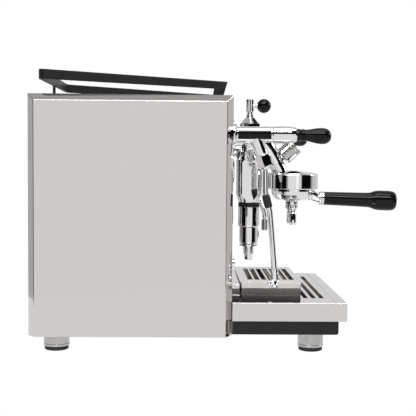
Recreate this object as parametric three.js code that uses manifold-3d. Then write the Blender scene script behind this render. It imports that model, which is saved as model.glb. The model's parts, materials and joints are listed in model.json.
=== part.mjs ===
// Dual-boiler espresso machine with a lever-operated group head, as separate sub-parts.
// Millimetres, +Z up. The origin is on the counter, under the middle of the machine's whole
// length (casing and portafilter handle); -Y is the user's side and -X the user's left.
import * as THREE from "three";
import { ConvexGeometry } from "three/addons/geometries/ConvexGeometry.js";
import { mergeVertices } from "three/addons/utils/BufferGeometryUtils.js";
import Module from "manifold-3d";

const wasm = await Module();
wasm.setup();

// ---------------------------------------------------------------- driving dimensions

const GAP = 0.3; // clearance between touching sub-parts
const SHEET = 1.5; // thickness of the casing sheets

const BODY = { halfWidth: 170, front: -11, back: 295, bottom: 25, top: 387.5 };
const BEVEL = { depth: 12, run: 10 }; // the side panels' bevel, in X and along the face
const INNER_HALF = BODY.halfWidth - BEVEL.depth - 0.5; // half width of the sheets between them
const REAR_FACE = 292.5; // outer face of the rear panel
const TOP_FACE = 385.5; // upper face of the cup warmer plate

const BASE = { front: -172.5, halfWidth: 164, bottom: 28.8, top: 49.2, bodyBottom: 27, wall: 2.5 };
const FOOT = { radius: 19.75, padRadius: 18.5, padHeight: 6, x: 135, frontY: -134, rearY: 256 };

const TRAY = { halfWidth: 167.5, front: -184.5, back: -11.5, bottom: BASE.top + GAP, top: 77.5 };
const TRAY_RIM = -168.5; // back edge of the tray's front rim
const STEP = { halfWidth: 95, front: -125.5, back: -27.5, top: 98.5, rim: 4.8 };
const SLOT = {
  width: 7,
  trayHalf: 121,
  trayFirst: -152.9,
  trayPitch: 12.4,
  stepWidth: 7.7,
  stepHalf: 68,
  stepFirst: -111.9,
  stepPitch: 11.13,
};

const RAIL = { x: 145, rearY: 280, thickness: 4, bend: 9, frontZ: 408.2, rearZ: 425.7 };

const COLUMN = { y: -46, radius: 21.8, bottom: 219.5, top: 345.7, flat: 17.6, flatTop: 286 };
const BELL = { y: -118, radius: 43.5, bottom: 243, shoulder: 268.5, ceiling: 262 };
const LIP = { radius: 36.3, top: 246.8, cavity: 40.8 }; // the bayonet lip inside the bell
const LOCK_ANGLE = 55; // degrees the portafilter turns between unlocked and locked
const GROUP_PIPES = [312, 338]; // heights of the two pipes that carry the group
const LEVER_PIVOT = { y: COLUMN.y, z: 298 };
const GROUP_GAUGE = { y: -102, z: 296.2, tilt: 43.5, radius: 14.8, length: 27.5 };

const HANDLE = { y: -172, z: 227.4, drop: 1.7, length: 122.84 }; // drop is in degrees
const TAP = { x: 135, z: 330, front: -108, radius: 12.2, branchY: -44.1, branchLean: 20 };
const TAP_BALL = { y: -110.5, radius: 9.6 }; // the black ball that the tap's lever tilts about
const WAND_BALL = { along: 50, radius: 7.6 }; // distance down the branch from the barrel's axis
const WAND_RADIUS = 4.35;

const TANK = { halfWidth: 99, front: 180, back: 265, bottom: 189.3, top: 385.4, wall: 2.5 };
const GAUGE = { x: 90, z: 278, bezel: 26, dial: 22.5, depth: 20 };
const DISPLAY = { x: -90, z: 205, halfWidth: 26, halfHeight: 13 };
const SWITCH = { x: 90, z: 205, halfWidth: 7, halfHeight: 11 };
const SELECTOR = { x: -90, z: 128, radius: 7.5, shaft: 3 };
const INLET = { x: -105, z: 78, halfWidth: 24, halfHeight: 14 };

// ---------------------------------------------------------------- materials

const finish = (color, roughness, metalness, more = {}) =>
  new THREE.MeshStandardMaterial({ color, roughness, metalness, ...more });

const mirrorSteel = finish(0xcfcbca, 0.12, 1);
const brushedSteel = finish(0xb5b4b2, 0.35, 1);
const chrome = finish(0xdcdcde, 0.06, 1);
const satinSteel = finish(0xc4c4c2, 0.28, 1);
const blackMetal = finish(0x1c1c1d, 0.45, 0.4);
const blackGloss = finish(0x0c0c0d, 0.1, 0);
const rubber = finish(0x161616, 0.85, 0);
const brass = finish(0xb08d4c, 0.35, 1);
const copper = finish(0xb87350, 0.3, 1);
const tankPlastic = finish(0xdfe8ea, 0.15, 0, { transparent: true, opacity: 0.45 });
const greyPlastic = finish(0x55585c, 0.6, 0);
const needleRed = finish(0xb3261e, 0.5, 0);

// ---------------------------------------------------------------- shape helpers

const radians = THREE.MathUtils.degToRad;

// A closed geometry as a manifold-3d solid, and back.
function solidOf(geometry) {
  const flat = geometry.index ? geometry.toNonIndexed() : geometry;
  const bare = new THREE.BufferGeometry().setAttribute("position", flat.getAttribute("position"));
  const merged = mergeVertices(bare, 1e-4);
  return new wasm.Manifold(
    new wasm.Mesh({
      numProp: 3,
      vertProperties: merged.attributes.position.array,
      triVerts: new Uint32Array(merged.index.array),
    }),
  );
}

function geometryOf(solid) {
  const mesh = solid.getMesh();
  const geometry = new THREE.BufferGeometry();
  geometry.setAttribute("position", new THREE.BufferAttribute(mesh.vertProperties, 3));
  geometry.setIndex(new THREE.BufferAttribute(mesh.triVerts, 1));
  return geometry;
}

const join = (...pieces) => geometryOf(pieces.map(solidOf).reduce((a, b) => a.add(b)));
const cut = (piece, ...tools) =>
  geometryOf(tools.map(solidOf).reduce((rest, tool) => rest.subtract(tool), solidOf(piece)));
const overlapOf = (a, b) => geometryOf(solidOf(a).intersect(solidOf(b)));

// The same shape on the other side of the machine, with its faces still pointing out.
const mirrored = (geometry) => geometryOf(solidOf(geometry).mirror([1, 0, 0]));

// A box between two values on each axis.
function block([x0, x1], [y0, y1], [z0, z1]) {
  const box = new THREE.BoxGeometry(x1 - x0, y1 - y0, z1 - z0);
  return box.translate((x0 + x1) / 2, (y0 + y1) / 2, (z0 + z1) / 2);
}

// A cylinder along one axis, from one value to another; `at` gives the other two coordinates.
function rod(axis, radius, from, to, at = [0, 0], sides = 20) {
  const cylinder = new THREE.CylinderGeometry(radius, radius, to - from, sides);
  cylinder.rotateY(Math.PI / sides).translate(0, (from + to) / 2, 0);
  if (axis === "x") return cylinder.rotateZ(-Math.PI / 2).translate(0, at[0], at[1]);
  if (axis === "y") return cylinder.translate(at[0], 0, at[1]);
  return cylinder.rotateX(Math.PI / 2).translate(at[0], at[1], 0);
}

// A solid of revolution about +Z from [radius, z] points.
function turned(profile, sides = 20) {
  const area = profile.reduce((sum, [r, z], i) => {
    const [nextR, nextZ] = profile[(i + 1) % profile.length];
    return sum + r * nextZ - nextR * z;
  }, 0);
  const ordered = area > 0 ? profile : [...profile].reverse();
  const points = ordered.map(([r, z]) => new THREE.Vector2(r, z));
  return new THREE.LatheGeometry(points, sides).rotateX(Math.PI / 2);
}

// Turns a geometry built along +Z so that it starts at a point and runs along a direction.
function aimed(geometry, start, direction) {
  const up = new THREE.Vector3(0, 0, 1);
  const turn = new THREE.Quaternion().setFromUnitVectors(up, direction.clone().normalize());
  return geometry.applyQuaternion(turn).translate(start.x, start.y, start.z);
}

// An outline in the YZ plane, extruded along X.
function sideProfile(points, fromX, toX) {
  const shape = new THREE.Shape(points.map(([y, z]) => new THREE.Vector2(y, z)));
  const geometry = new THREE.ExtrudeGeometry(shape, { depth: toX - fromX, bevelEnabled: false });
  const axes = new THREE.Matrix4().set(0, 0, 1, fromX, 1, 0, 0, 0, 0, 1, 0, 0, 0, 0, 0, 1);
  return geometry.applyMatrix4(axes);
}

// A round tube along a smooth curve through the points.
function tube(points, radius, steps, sides = 10) {
  const circle = new THREE.Shape().absarc(0, 0, radius, 0, 2 * Math.PI);
  const path = new THREE.CatmullRomCurve3(points.map((p) => new THREE.Vector3(...p)));
  const curveSegments = sides / 2; // three.js divides a full circle into twice this many
  return new THREE.ExtrudeGeometry(circle, { extrudePath: path, steps, curveSegments });
}

// Slots that run along X, one per Y value.
const slots = (ys, halfLength, width, z) =>
  ys.map((y) => block([-halfLength, halfLength], [y - width / 2, y + width / 2], z));

const series = (count, first, pitch) => Array.from({ length: count }, (_, i) => first + i * pitch);

function part(parent, name, geometry, material, position = [0, 0, 0]) {
  const mesh = new THREE.Mesh(geometry, material);
  mesh.name = name;
  mesh.position.set(...position);
  parent.add(mesh);
}

const machine = new THREE.Group();

// ---------------------------------------------------------------- casing

// The convex block under a side panel's skin: its inner edge lies `inset` inside the casing's
// outline and it narrows towards the outer face at the bevel's slope.
function panelBlock(fromX, toX, inset, floor) {
  const slope = BEVEL.run / BEVEL.depth;
  const edge = BODY.halfWidth - BEVEL.depth;
  const corners = [fromX, toX].flatMap((x) => {
    const shrink = inset + (x - edge) * slope;
    const ys = [BODY.front + shrink, BODY.back - shrink];
    const zs = [floor, BODY.top - shrink];
    return ys.flatMap((y) => zs.map((z) => new THREE.Vector3(x, y, z)));
  });
  return new ConvexGeometry(corners);
}

// A polished pan: flat face, beveled at the top, front and back, open towards the inside.
function sidePanel() {
  const edge = BODY.halfWidth - BEVEL.depth;
  const skin = SHEET * Math.hypot(1, BEVEL.run / BEVEL.depth);
  const outer = panelBlock(edge, BODY.halfWidth, 0, BODY.bottom);
  const inner = panelBlock(edge - 1, BODY.halfWidth - SHEET, skin, BODY.bottom + SHEET);
  return cut(outer, inner);
}

function baseChassis() {
  const corner = 3; // rounding of the lower front edge
  const { front, halfWidth, bottom, top, bodyBottom, wall } = BASE;
  const apron = sideProfile(
    [
      [front, top],
      [front, bottom + corner],
      [front + corner * 0.3, bottom + corner * 0.3],
      [front + corner, bottom],
      [BODY.front - 0.6, bottom],
      [BODY.front - 0.6, top],
    ],
    -halfWidth,
    halfWidth,
  );
  const pan = block([-INNER_HALF, INNER_HALF], [BODY.front - 1, REAR_FACE - 2], [bodyBottom, top]);
  const trayWell = block(
    [wall - halfWidth, halfWidth - wall],
    [front + wall, BODY.front - wall],
    [bottom + wall, top + 1],
  );
  const machineWell = block(
    [wall - INNER_HALF, INNER_HALF - wall],
    [BODY.front + wall, REAR_FACE - 2 - wall],
    [bodyBottom + wall, top + 1],
  );
  return cut(join(apron, pan), trayWell, machineWell);
}

function frontPanel() {
  const y = [BODY.front - 5, BODY.front + 5];
  const sheet = block(
    [-INNER_HALF, INNER_HALF],
    [BODY.front, BODY.front + SHEET],
    [BASE.top + GAP, TOP_FACE - SHEET - GAP],
  );
  const holes = [
    ...GROUP_PIPES.map((z) => rod("y", 9.5, ...y, [0, z])),
    ...[-1, 1].map((side) => rod("y", 8.5, ...y, [side * TAP.x, TAP.z])),
    ...[-1, 1].map((side) => rod("y", GAUGE.dial + 2, ...y, [side * GAUGE.x, GAUGE.z])),
    rod("y", SELECTOR.shaft + 0.5, ...y, [SELECTOR.x, SELECTOR.z]),
    opening(DISPLAY, 2, y),
    opening(SWITCH, -0.6, y),
  ];
  return cut(sheet, ...holes);
}

// A rectangular hole for a fitting; a positive margin leaves a rim for its bezel to rest on.
function opening({ x, z, halfWidth, halfHeight }, margin, y) {
  const w = halfWidth - margin;
  const h = halfHeight - margin;
  return block([x - w, x + w], y, [z - h, z + h]);
}

function rearPanel() {
  const sheet = block(
    [-INNER_HALF, INNER_HALF],
    [REAR_FACE - SHEET, REAR_FACE],
    [BASE.bodyBottom, TOP_FACE],
  );
  const shelf = block(
    [-TANK.halfWidth - 2, TANK.halfWidth + 2],
    [TANK.front - 4, REAR_FACE - SHEET / 2],
    [TANK.bottom - GAP - 2.5, TANK.bottom - GAP],
  );
  const through = [REAR_FACE - 5, REAR_FACE + 5];
  const vents = series(7, 110, 10).map((z) => block([-60, 60], through, [z, z + 4]));
  return cut(join(sheet, shelf), ...vents, opening(INLET, 2, through));
}

function topPlate() {
  const sheet = block(
    [-INNER_HALF, INNER_HALF],
    [BODY.front, REAR_FACE - SHEET - GAP],
    [TOP_FACE - SHEET, TOP_FACE],
  );
  const z = [TOP_FACE - 5, TOP_FACE + 5];
  const tankHole = block(
    [-TANK.halfWidth - 3, TANK.halfWidth + 3],
    [TANK.front - 4, TANK.back + 4],
    z,
  );
  return cut(sheet, tankHole, ...slots(series(8, 28, 16), 110, 5, z));
}

// A flat-bar loop, open at the front, whose sides rise towards the back.
function cupRail() {
  const { x, rearY, thickness, bend, frontZ, rearZ } = RAIL;
  const half = thickness / 2;
  const foot = TOP_FACE + GAP;
  const front = -2;
  const barUnder = 410.5; // underside of the bar at the back
  const loop = (offset, radius) => {
    const outline = new THREE.Shape();
    outline.moveTo(x + offset, front - 10);
    outline.lineTo(x + offset, rearY + offset - radius);
    outline.absarc(x + offset - radius, rearY + offset - radius, radius, 0, Math.PI / 2);
    outline.absarc(radius - x - offset, rearY + offset - radius, radius, Math.PI / 2, Math.PI);
    outline.lineTo(-x - offset, front - 10);
    return new THREE.ExtrudeGeometry(outline, { depth: 60, bevelEnabled: false, curveSegments: 5 });
  };
  const strip = cut(loop(half, bend + half), loop(-half, bend - half).translate(0, -1, 0))
    .translate(0, 0, foot - 1);
  const sides = sideProfile(
    [
      [front, frontZ],
      [4.6, foot],
      [20.5, foot],
      [18.4, frontZ - 10.4],
      [rearY + 10, barUnder],
      [rearY + 10, rearZ],
    ],
    -x - 10,
    x + 10,
  );
  const post = block([-3.8, 3.8], [rearY - half, rearY + half], [foot, barUnder + 2]);
  return join(overlapOf(strip, sides), post);
}

part(machine, "base_chassis", baseChassis(), blackMetal);
part(machine, "side_panel_right", sidePanel(), mirrorSteel);
part(machine, "side_panel_left", mirrored(sidePanel()), mirrorSteel);
part(machine, "front_panel", frontPanel(), mirrorSteel);
part(machine, "rear_panel", rearPanel(), brushedSteel);
part(machine, "top_plate", topPlate(), brushedSteel);
part(machine, "cup_rail", cupRail(), blackMetal);

for (const [row, y, top] of [
  ["front", FOOT.frontY, BASE.bottom - GAP],
  ["rear", FOOT.rearY, BASE.bodyBottom - GAP],
])
  for (const [side, x] of [
    ["left", -FOOT.x],
    ["right", FOOT.x],
  ]) {
    const stem = rod("z", FOOT.radius, FOOT.padHeight + GAP, top);
    const pad = rod("z", FOOT.padRadius, 0, FOOT.padHeight);
    part(machine, `foot_${row}_${side}`, stem, satinSteel, [x, y, 0]);
    part(machine, `foot_pad_${row}_${side}`, pad, rubber, [x, y, 0]);
  }

// ---------------------------------------------------------------- drip tray

function dripTray() {
  const { halfWidth, front, back, bottom, top } = TRAY;
  const ledge = 2.3; // width and depth of the recess that the grate lies in
  const wall = 2.5;
  const floor = 2;
  const recessHalf = halfWidth - ledge;
  const basinHalf = recessHalf - 4.2;
  const rimHalf = halfWidth - 4.5;
  const box = block([-halfWidth, halfWidth], [front, back], [bottom, top]);
  const recess = block([-recessHalf, recessHalf], [TRAY_RIM, back - 1.5], [top - ledge, top + 1]);
  const basin = block(
    [-basinHalf, basinHalf],
    [TRAY_RIM + 4.5, back - 5.5],
    [bottom + floor, top + 1],
  );
  const underRim = block(
    [-rimHalf, rimHalf],
    [front + wall, TRAY_RIM + 1.7],
    [bottom - 1, top - ledge - wall],
  );
  return cut(box, recess, basin, underRim);
}

// The slotted cover of the tray, with the upstand and the rear shelf that carry the cup step.
function dripGrate() {
  const sheet = 2;
  const under = TRAY.top - sheet;
  const half = STEP.halfWidth;
  const wall = { half: half - 2, front: STEP.front + 1.5, back: STEP.back - 0.5 };
  const wallTop = STEP.top - STEP.rim - GAP;
  const shelf = { front: STEP.back + 0.6, back: TRAY.back - 2, top: STEP.top - 4 };
  const plate = block(
    [2.6 - TRAY.halfWidth, TRAY.halfWidth - 2.6],
    [TRAY_RIM + 0.5, TRAY.back - 1.8],
    [under, TRAY.top],
  );
  const upstand = block([-wall.half, wall.half], [wall.front, wall.back], [under, wallTop]);
  const rearShelf = block([-half, half], [shelf.front, shelf.back], [under, shelf.top]);
  const upstandWell = block(
    [sheet - wall.half, wall.half - sheet],
    [wall.front + sheet, wall.back - sheet],
    [under - 1, wallTop + 1],
  );
  const shelfWell = block(
    [sheet - half, half - sheet],
    [shelf.front + sheet, shelf.back - sheet],
    [under - 1, shelf.top - sheet],
  );
  const slotYs = series(3, SLOT.trayFirst, SLOT.trayPitch);
  const traySlots = slots(slotYs, SLOT.trayHalf, SLOT.width, [under - 1, TRAY.top + 1]);
  return cut(join(cut(plate, ...traySlots), upstand, rearShelf), upstandWell, shelfWell);
}

function stepGrate() {
  const { halfWidth, front, back, top, rim } = STEP;
  const wall = 1.8;
  const wellHalf = halfWidth - wall;
  const box = block([-halfWidth, halfWidth], [front, back], [top - rim, top]);
  const under = block([-wellHalf, wellHalf], [front + wall, back - wall], [top - rim - 1, top - 2]);
  const slotYs = series(7, SLOT.stepFirst, SLOT.stepPitch);
  const cuts = slots(slotYs, SLOT.stepHalf, SLOT.stepWidth, [top - 4, top + 1]);
  return cut(box, under, ...cuts);
}

part(machine, "drip_tray", dripTray(), mirrorSteel);
part(machine, "drip_grate", dripGrate(), mirrorSteel);
part(machine, "step_grate", stepGrate(), mirrorSteel);

// ---------------------------------------------------------------- group head

// Unit vector in the YZ plane that points forwards (-Y) and up by the angle.
const forwardUp = (degrees) =>
  new THREE.Vector3(0, -Math.cos(radians(degrees)), Math.sin(radians(degrees)));

const gaugeStart = new THREE.Vector3(0, GROUP_GAUGE.y, GROUP_GAUGE.z);
const gaugeAxis = forwardUp(GROUP_GAUGE.tilt);

// The bell holds the portafilter: a bayonet lip with two entry slots, and the seal's seat above.
function bell() {
  const shell = turned(
    [
      [0, BELL.shoulder + 5.5],
      [16, BELL.shoulder + 5],
      [40, BELL.shoulder + 2],
      [BELL.radius, BELL.shoulder - 1],
      [BELL.radius, BELL.bottom + 1],
      [BELL.radius - 1, BELL.bottom],
      [LIP.radius, BELL.bottom],
      [LIP.radius, LIP.top],
      [LIP.cavity, LIP.top],
      [LIP.cavity, LIP.top + 6],
      [LIP.radius + 0.4, LIP.top + 6],
      [LIP.radius + 0.4, BELL.ceiling],
      [0, BELL.ceiling],
    ],
    28,
  );
  const entry = [0, 180].map((angle) =>
    block([30, LIP.cavity], [-11, 11], [BELL.bottom - 1, LIP.top + 1])
      .rotateZ(radians(angle - LOCK_ANGLE)),
  );
  return cut(shell, ...entry).translate(0, BELL.y, 0);
}

// What is milled off one side of the column: a flat that runs out upwards.
function columnFlat(side) {
  const { flat, flatTop, radius } = COLUMN;
  const outside = radius + 6;
  const corners = [
    [flat, 200],
    [flat, flatTop],
    [outside, flatTop + 24],
    [outside, 200],
  ].flatMap(([x, z]) =>
    [-30, 30].map((y) => new THREE.Vector3(side * x, COLUMN.y + y, z)),
  );
  return new ConvexGeometry(corners);
}

function groupBody() {
  const flange = turned([[0, 0], [36, 0], [36, 5], [33, 8], [0, 8]], 28)
    .rotateX(Math.PI / 2)
    .translate(0, BODY.front - GAP, 325);
  const pipes = GROUP_PIPES.map((z) => rod("y", 9, BODY.front - 5, 8, [0, z], 16));
  const throat = rod("y", 20, COLUMN.y, BODY.front - 4, [0, 325]);
  const column = turned([
    [0, COLUMN.bottom],
    [17, COLUMN.bottom],
    [COLUMN.radius, COLUMN.bottom + 14],
    [COLUMN.radius, COLUMN.top],
    [0, COLUMN.top],
  ]).translate(0, COLUMN.y, 0);
  const neck = sideProfile(
    [
      [COLUMN.y, 344],
      [-70, 344],
      [-79, 336],
      [-80, 318],
      [-103, 272],
      [-128, 274],
      [-128, 266],
      [-92, 266],
      [-60, 306],
      [COLUMN.y, 306],
    ],
    -20,
    20,
  );
  const gaugeBoss = aimed(rod("z", 7, -30, -6, [0, 0], 16), gaugeStart, gaugeAxis);
  const at = [LEVER_PIVOT.y, LEVER_PIVOT.z];
  const leverBoss = rod("x", 14, 0, 36, at);
  const leverBore = rod("x", 6.4, 20, 40, at, 20);
  const plug = rod("x", 12, -32, 0, at, 6);
  const boltHeads = [
    [-24, 301],
    [24, 301],
    [-24, 349],
    [24, 349],
  ].map(([x, z]) => rod("y", 5, BODY.front - 12, BODY.front - 6, [x, z], 6));
  const flats = [-1, 1].map(columnFlat);
  const shaped = cut(join(flange, ...pipes, throat, column), ...flats);
  const casting = join(shaped, neck, gaugeBoss, plug, ...boltHeads);
  return cut(join(casting, leverBoss, bell()), leverBore);
}

part(machine, "group_body", groupBody(), chrome);

const onColumn = new THREE.Group();
onColumn.position.set(0, COLUMN.y, 0);
machine.add(onColumn);

const capNut = overlapOf(
  rod("z", 18.6, COLUMN.top + GAP, 361, [0, 0], 6),
  turned([[0, 340], [18, 340], [18, 352], [8, 361.5], [0, 361.5]]),
);
const stemBore = rod("z", 6.6, 352, 370, [0, 0], 20);
part(onColumn, "group_cap_nut", cut(capNut, stemBore), chrome);

const STEM = { bottom: 352.4, top: 391.6, radius: 6.2, armZ: 381 };
const BALL = { reach: 23.2, radius: 11.8 };
const flowStem = join(
  turned([
    [0, STEM.bottom],
    [STEM.radius, STEM.bottom],
    [STEM.radius, 370],
    [STEM.radius - 0.7, 371.5],
    [STEM.radius - 0.7, 373.5],
    [STEM.radius, 375],
    [STEM.radius, STEM.top - 1],
    [STEM.radius - 1, STEM.top],
    [0, STEM.top],
  ], 20),
  rod("y", 3, 0.5 - (BALL.reach - BALL.radius), 0, [0, STEM.armZ], 12),
);
part(onColumn, "flow_stem", flowStem, chrome);
part(
  onColumn,
  "flow_knob",
  cut(new THREE.SphereGeometry(BALL.radius, 14, 10), rod("y", 20, BALL.radius - 0.8, 20)),
  blackGloss,
  [0, -BALL.reach, STEM.armZ],
);

const RING = { top: 219.2, bottom: 212.6, radius: 18.1 };
const CHAMBER = { radius: 17.8, lowerRadius: 15.4, neckRadius: 13.8, bottom: 146.6 };
part(onColumn, "group_seal_ring", rod("z", RING.radius, RING.bottom, RING.top), rubber);
const infusionChamber = turned([
  [0, RING.bottom - GAP],
  [CHAMBER.radius, RING.bottom - GAP],
  [CHAMBER.radius, 180],
  [CHAMBER.lowerRadius, 179],
  [CHAMBER.lowerRadius, 151.5],
  [CHAMBER.neckRadius, 150],
  [CHAMBER.lowerRadius, 148.4],
  [CHAMBER.lowerRadius, CHAMBER.bottom],
  [0, CHAMBER.bottom],
]);
part(onColumn, "infusion_chamber", infusionChamber, chrome);
const dischargeNozzle = cut(
  turned([[0, 146.3], [9, 146.3], [8.6, 133.5], [7.2, 133], [6.7, 123.3], [0, 123.3]], 20),
  rod("z", 4, 120, 140, [0, 0], 12),
);
part(onColumn, "discharge_nozzle", dischargeNozzle, chrome);

// The brew lever: an axle into the column's boss, a bent arm and a pear-shaped knob.
const LEVER_END = new THREE.Vector3(60, COLUMN.y - 8, 190);
const leverArm = tube(
  [
    [20.6, LEVER_PIVOT.y, LEVER_PIVOT.z],
    [34, LEVER_PIVOT.y, LEVER_PIVOT.z],
    [47, LEVER_PIVOT.y, LEVER_PIVOT.z - 1],
    [55.5, LEVER_PIVOT.y - 0.5, LEVER_PIVOT.z - 9],
    [58, LEVER_PIVOT.y - 2, LEVER_PIVOT.z - 28],
    [59, LEVER_PIVOT.y - 5, 240],
    LEVER_END.toArray(),
  ],
  5,
  16,
);
const pear = (length, neck, fat) =>
  turned([
    [0, GAP],
    [neck, GAP],
    [neck + (fat - neck) * 0.35, length * 0.22],
    [neck + (fat - neck) * 0.8, length * 0.45],
    [fat, length * 0.66],
    [fat * 0.93, length * 0.82],
    [fat * 0.7, length * 0.93],
    [fat * 0.35, length * 0.985],
    [0, length],
  ], 14);
part(machine, "brew_lever", leverArm, chrome);
const leverDrop = new THREE.Vector3(0.01, -0.06, -1);
part(machine, "brew_lever_knob", aimed(pear(43, 5.5, 12.5), LEVER_END, leverDrop), blackGloss);

// A dial gauge built along +Z: a cup-shaped case with its dial floor, and its needle.
function gaugeCase(radius, length, wall, floorDepth, lift) {
  const rim = Math.min(1, wall / 2);
  return turned([
    [0, 0],
    [radius - 1.5, 0],
    [radius, 1.5],
    [radius, length - rim],
    [radius - rim, length],
    [radius - wall, length],
    [radius - wall, length - floorDepth],
    [0, length - floorDepth],
  ]).translate(0, 0, lift);
}

function needle(reach, z) {
  const pointer = new ConvexGeometry(
    [
      [-1.2, -reach * 0.25],
      [1.2, -reach * 0.25],
      [0.5, reach],
      [-0.5, reach],
    ].flatMap(([x, y]) => [z, z + 0.7].map((level) => new THREE.Vector3(x, y, level))),
  );
  return join(pointer, rod("z", 2, z, z + 1.4, [0, 0], 10));
}

const groupGauge = join(
  gaugeCase(GROUP_GAUGE.radius, GROUP_GAUGE.length, 1.6, 3, 0),
  rod("z", 4.7, -5.7, 1, [0, 0], 6),
);
const groupNeedle = needle(10, GROUP_GAUGE.length - 3 + GAP);
part(machine, "group_gauge_case", aimed(groupGauge, gaugeStart, gaugeAxis), satinSteel);
part(machine, "group_gauge_needle", aimed(groupNeedle, gaugeStart, gaugeAxis), needleRed);

const onBell = new THREE.Group();
onBell.position.set(0, BELL.y, 0);
machine.add(onBell);

const SEAL = { inner: 28.6, outer: LIP.radius, bottom: 251.6, top: BELL.ceiling - 0.4 };
const gasket = turned(
  [
    [SEAL.inner, SEAL.bottom],
    [SEAL.outer, SEAL.bottom],
    [SEAL.outer, SEAL.top],
    [SEAL.inner, SEAL.top],
    [SEAL.inner, SEAL.bottom],
  ],
  24,
);
part(onBell, "group_gasket", gasket, rubber);
const screen = turned(
  [
    [0, 252.3],
    [27.4, 252.3],
    [28, 253],
    [28, 255.6],
    [4, 255.6],
    [4, SEAL.top],
    [0, SEAL.top],
  ],
  24,
);
part(onBell, "shower_screen", screen, brushedSteel);

// ---------------------------------------------------------------- portafilter

function portafilterBody() {
  const bowl = turned(
    [
      [0, 221.8],
      [11, 221.8],
      [11, 223.6],
      [23, 224.4],
      [30.5, 228.5],
      [33.6, 236],
      [34.8, 243],
      [34.8, 249.9],
      [31, 249.9],
      [31, 231],
      [26, 227.6],
      [0, 227.6],
    ],
    26,
  );
  const ears = [-1, 1].map((side) =>
    block([side * 36 - 3.2, side * 36 + 3.2], [-9, 9], [LIP.top + GAP, 249.9]),
  );
  const fromBell = (point) => new THREE.Vector3(0, point.y - BELL.y, point.z);
  const lean = forwardUp(-HANDLE.drop);
  const start = fromBell({ y: HANDLE.y, z: HANDLE.z });
  const collar = turned([[0, -7], [11, -7], [11.8, -5.8], [11.8, -GAP], [0, -GAP]], 24);
  const ferrule = aimed(collar, start, lean);
  const neckPath = [
    [0, -32.5, 233],
    [0, -39, 231.2],
    [0, start.y + 5, start.z + 0.2],
  ];
  return join(bowl, ...ears, ferrule, tube(neckPath, 8.6, 8, 14));
}

const basket = turned(
  [
    [0, 228.2],
    [26.5, 228.2],
    [29.6, 231.5],
    [29.6, 250.2],
    [33.8, 250.2],
    [33.8, 251.2],
    [28.7, 251.2],
    [28.7, 232],
    [26, 229.2],
    [0, 229.2],
  ],
  24,
);

function spout() {
  const hub = turned([[0, 206], [7.5, 207.5], [10.5, 211], [10.5, 221.5], [0, 221.5]], 20);
  const arms = [-1, 1].map((side) =>
    tube(
      [
        [0, 0, 214],
        [side * 9, 0, 210.5],
        [side * 16.5, 0, 203],
        [side * 19.5, 0, 193],
        [side * 20, 0, 183.5],
      ],
      5.8,
      8,
    ),
  );
  return join(hub, ...arms);
}

function handle() {
  const { length } = HANDLE;
  const grip = turned(
    [
      [0, 0],
      [10.6, 0],
      [10.9, 1],
      [11.4, 30],
      [12.2, 76],
      [13.5, 80],
      [15.8, 85],
      [16.75, 90],
      [16.75, 112],
      [15.6, 118],
      [12.6, 121.6],
      [7, length],
      [0, length],
    ],
    20,
  );
  return aimed(grip, new THREE.Vector3(0, HANDLE.y - BELL.y, HANDLE.z), forwardUp(-HANDLE.drop));
}

part(onBell, "portafilter_body", portafilterBody(), chrome);
part(onBell, "portafilter_basket", basket, satinSteel);
part(onBell, "portafilter_spout", spout(), chrome);
part(onBell, "portafilter_handle", handle(), blackGloss);

// ---------------------------------------------------------------- steam and hot water taps

const branchDirection = new THREE.Vector3(
  0,
  -Math.sin(radians(TAP.branchLean)),
  -Math.cos(radians(TAP.branchLean)),
);
const branchStart = new THREE.Vector3(0, TAP.branchY, TAP.z);
const ballCentre = branchStart.clone().addScaledVector(branchDirection, WAND_BALL.along);

function valveBody() {
  const barrel = turned([
    [0, -20],
    [8, -20],
    [8, GAP],
    [16.5, GAP],
    [16.5, 3.5],
    [13, 5],
    [TAP.radius, 7],
    [TAP.radius, 58],
    [TAP.radius - 0.5, 59],
    [TAP.radius + 0.2, 61],
    [TAP.radius + 0.7, 77],
    [TAP.radius - 0.3, 95],
    [TAP.radius - 1.2, 97],
    [0, 97],
  ]);
  const placed = aimed(barrel, new THREE.Vector3(0, BODY.front, TAP.z), forwardUp(0));
  const branch = aimed(rod("z", 10.4, 0, 34), branchStart, branchDirection);
  const nut = aimed(rod("z", 13, 33, 52, [0, 0], 6), branchStart, branchDirection);
  const wandSocket = aimed(rod("z", 8.2, 41.5, 60, [0, 0], 16), branchStart, branchDirection);
  const leverSocket = new THREE.SphereGeometry(TAP_BALL.radius + 0.5, 14, 10);
  leverSocket.translate(0, TAP_BALL.y, TAP.z);
  return cut(join(placed, branch, nut), wandSocket, leverSocket);
}

// A black lever knob: a ball in the barrel's end, a short neck and a pear.
function tapKnob() {
  const drop = 2.2; // degrees
  const ball = new THREE.SphereGeometry(TAP_BALL.radius, 14, 8);
  const neck = rod("z", 8, 0, 10, [0, 0], 14);
  const knob = pear(43, 7.6, 12.35).translate(0, 0, 8);
  return aimed(join(ball, neck, knob), new THREE.Vector3(0, TAP_BALL.y, TAP.z), forwardUp(-drop));
}

const wandStart = ballCentre.z - WAND_BALL.radius - GAP;
const steamPath = [
  [0, ballCentre.y, wandStart],
  [0, ballCentre.y - 0.3, 258],
  [0, ballCentre.y - 0.8, 240],
  [0, -65, 227],
  [0, -68.8, 212],
  [0, -71.7, 184],
  [0, -74.3, 155],
  [0, -77, 125],
];
const waterPath = [
  [0, ballCentre.y, wandStart],
  [0, ballCentre.y - 0.4, 262],
  [0, ballCentre.y - 2, 244],
  [0, -72, 222],
  [0, -80, 203],
  [0, -83.6, 192],
  [0, -84.5, 185],
];

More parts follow.
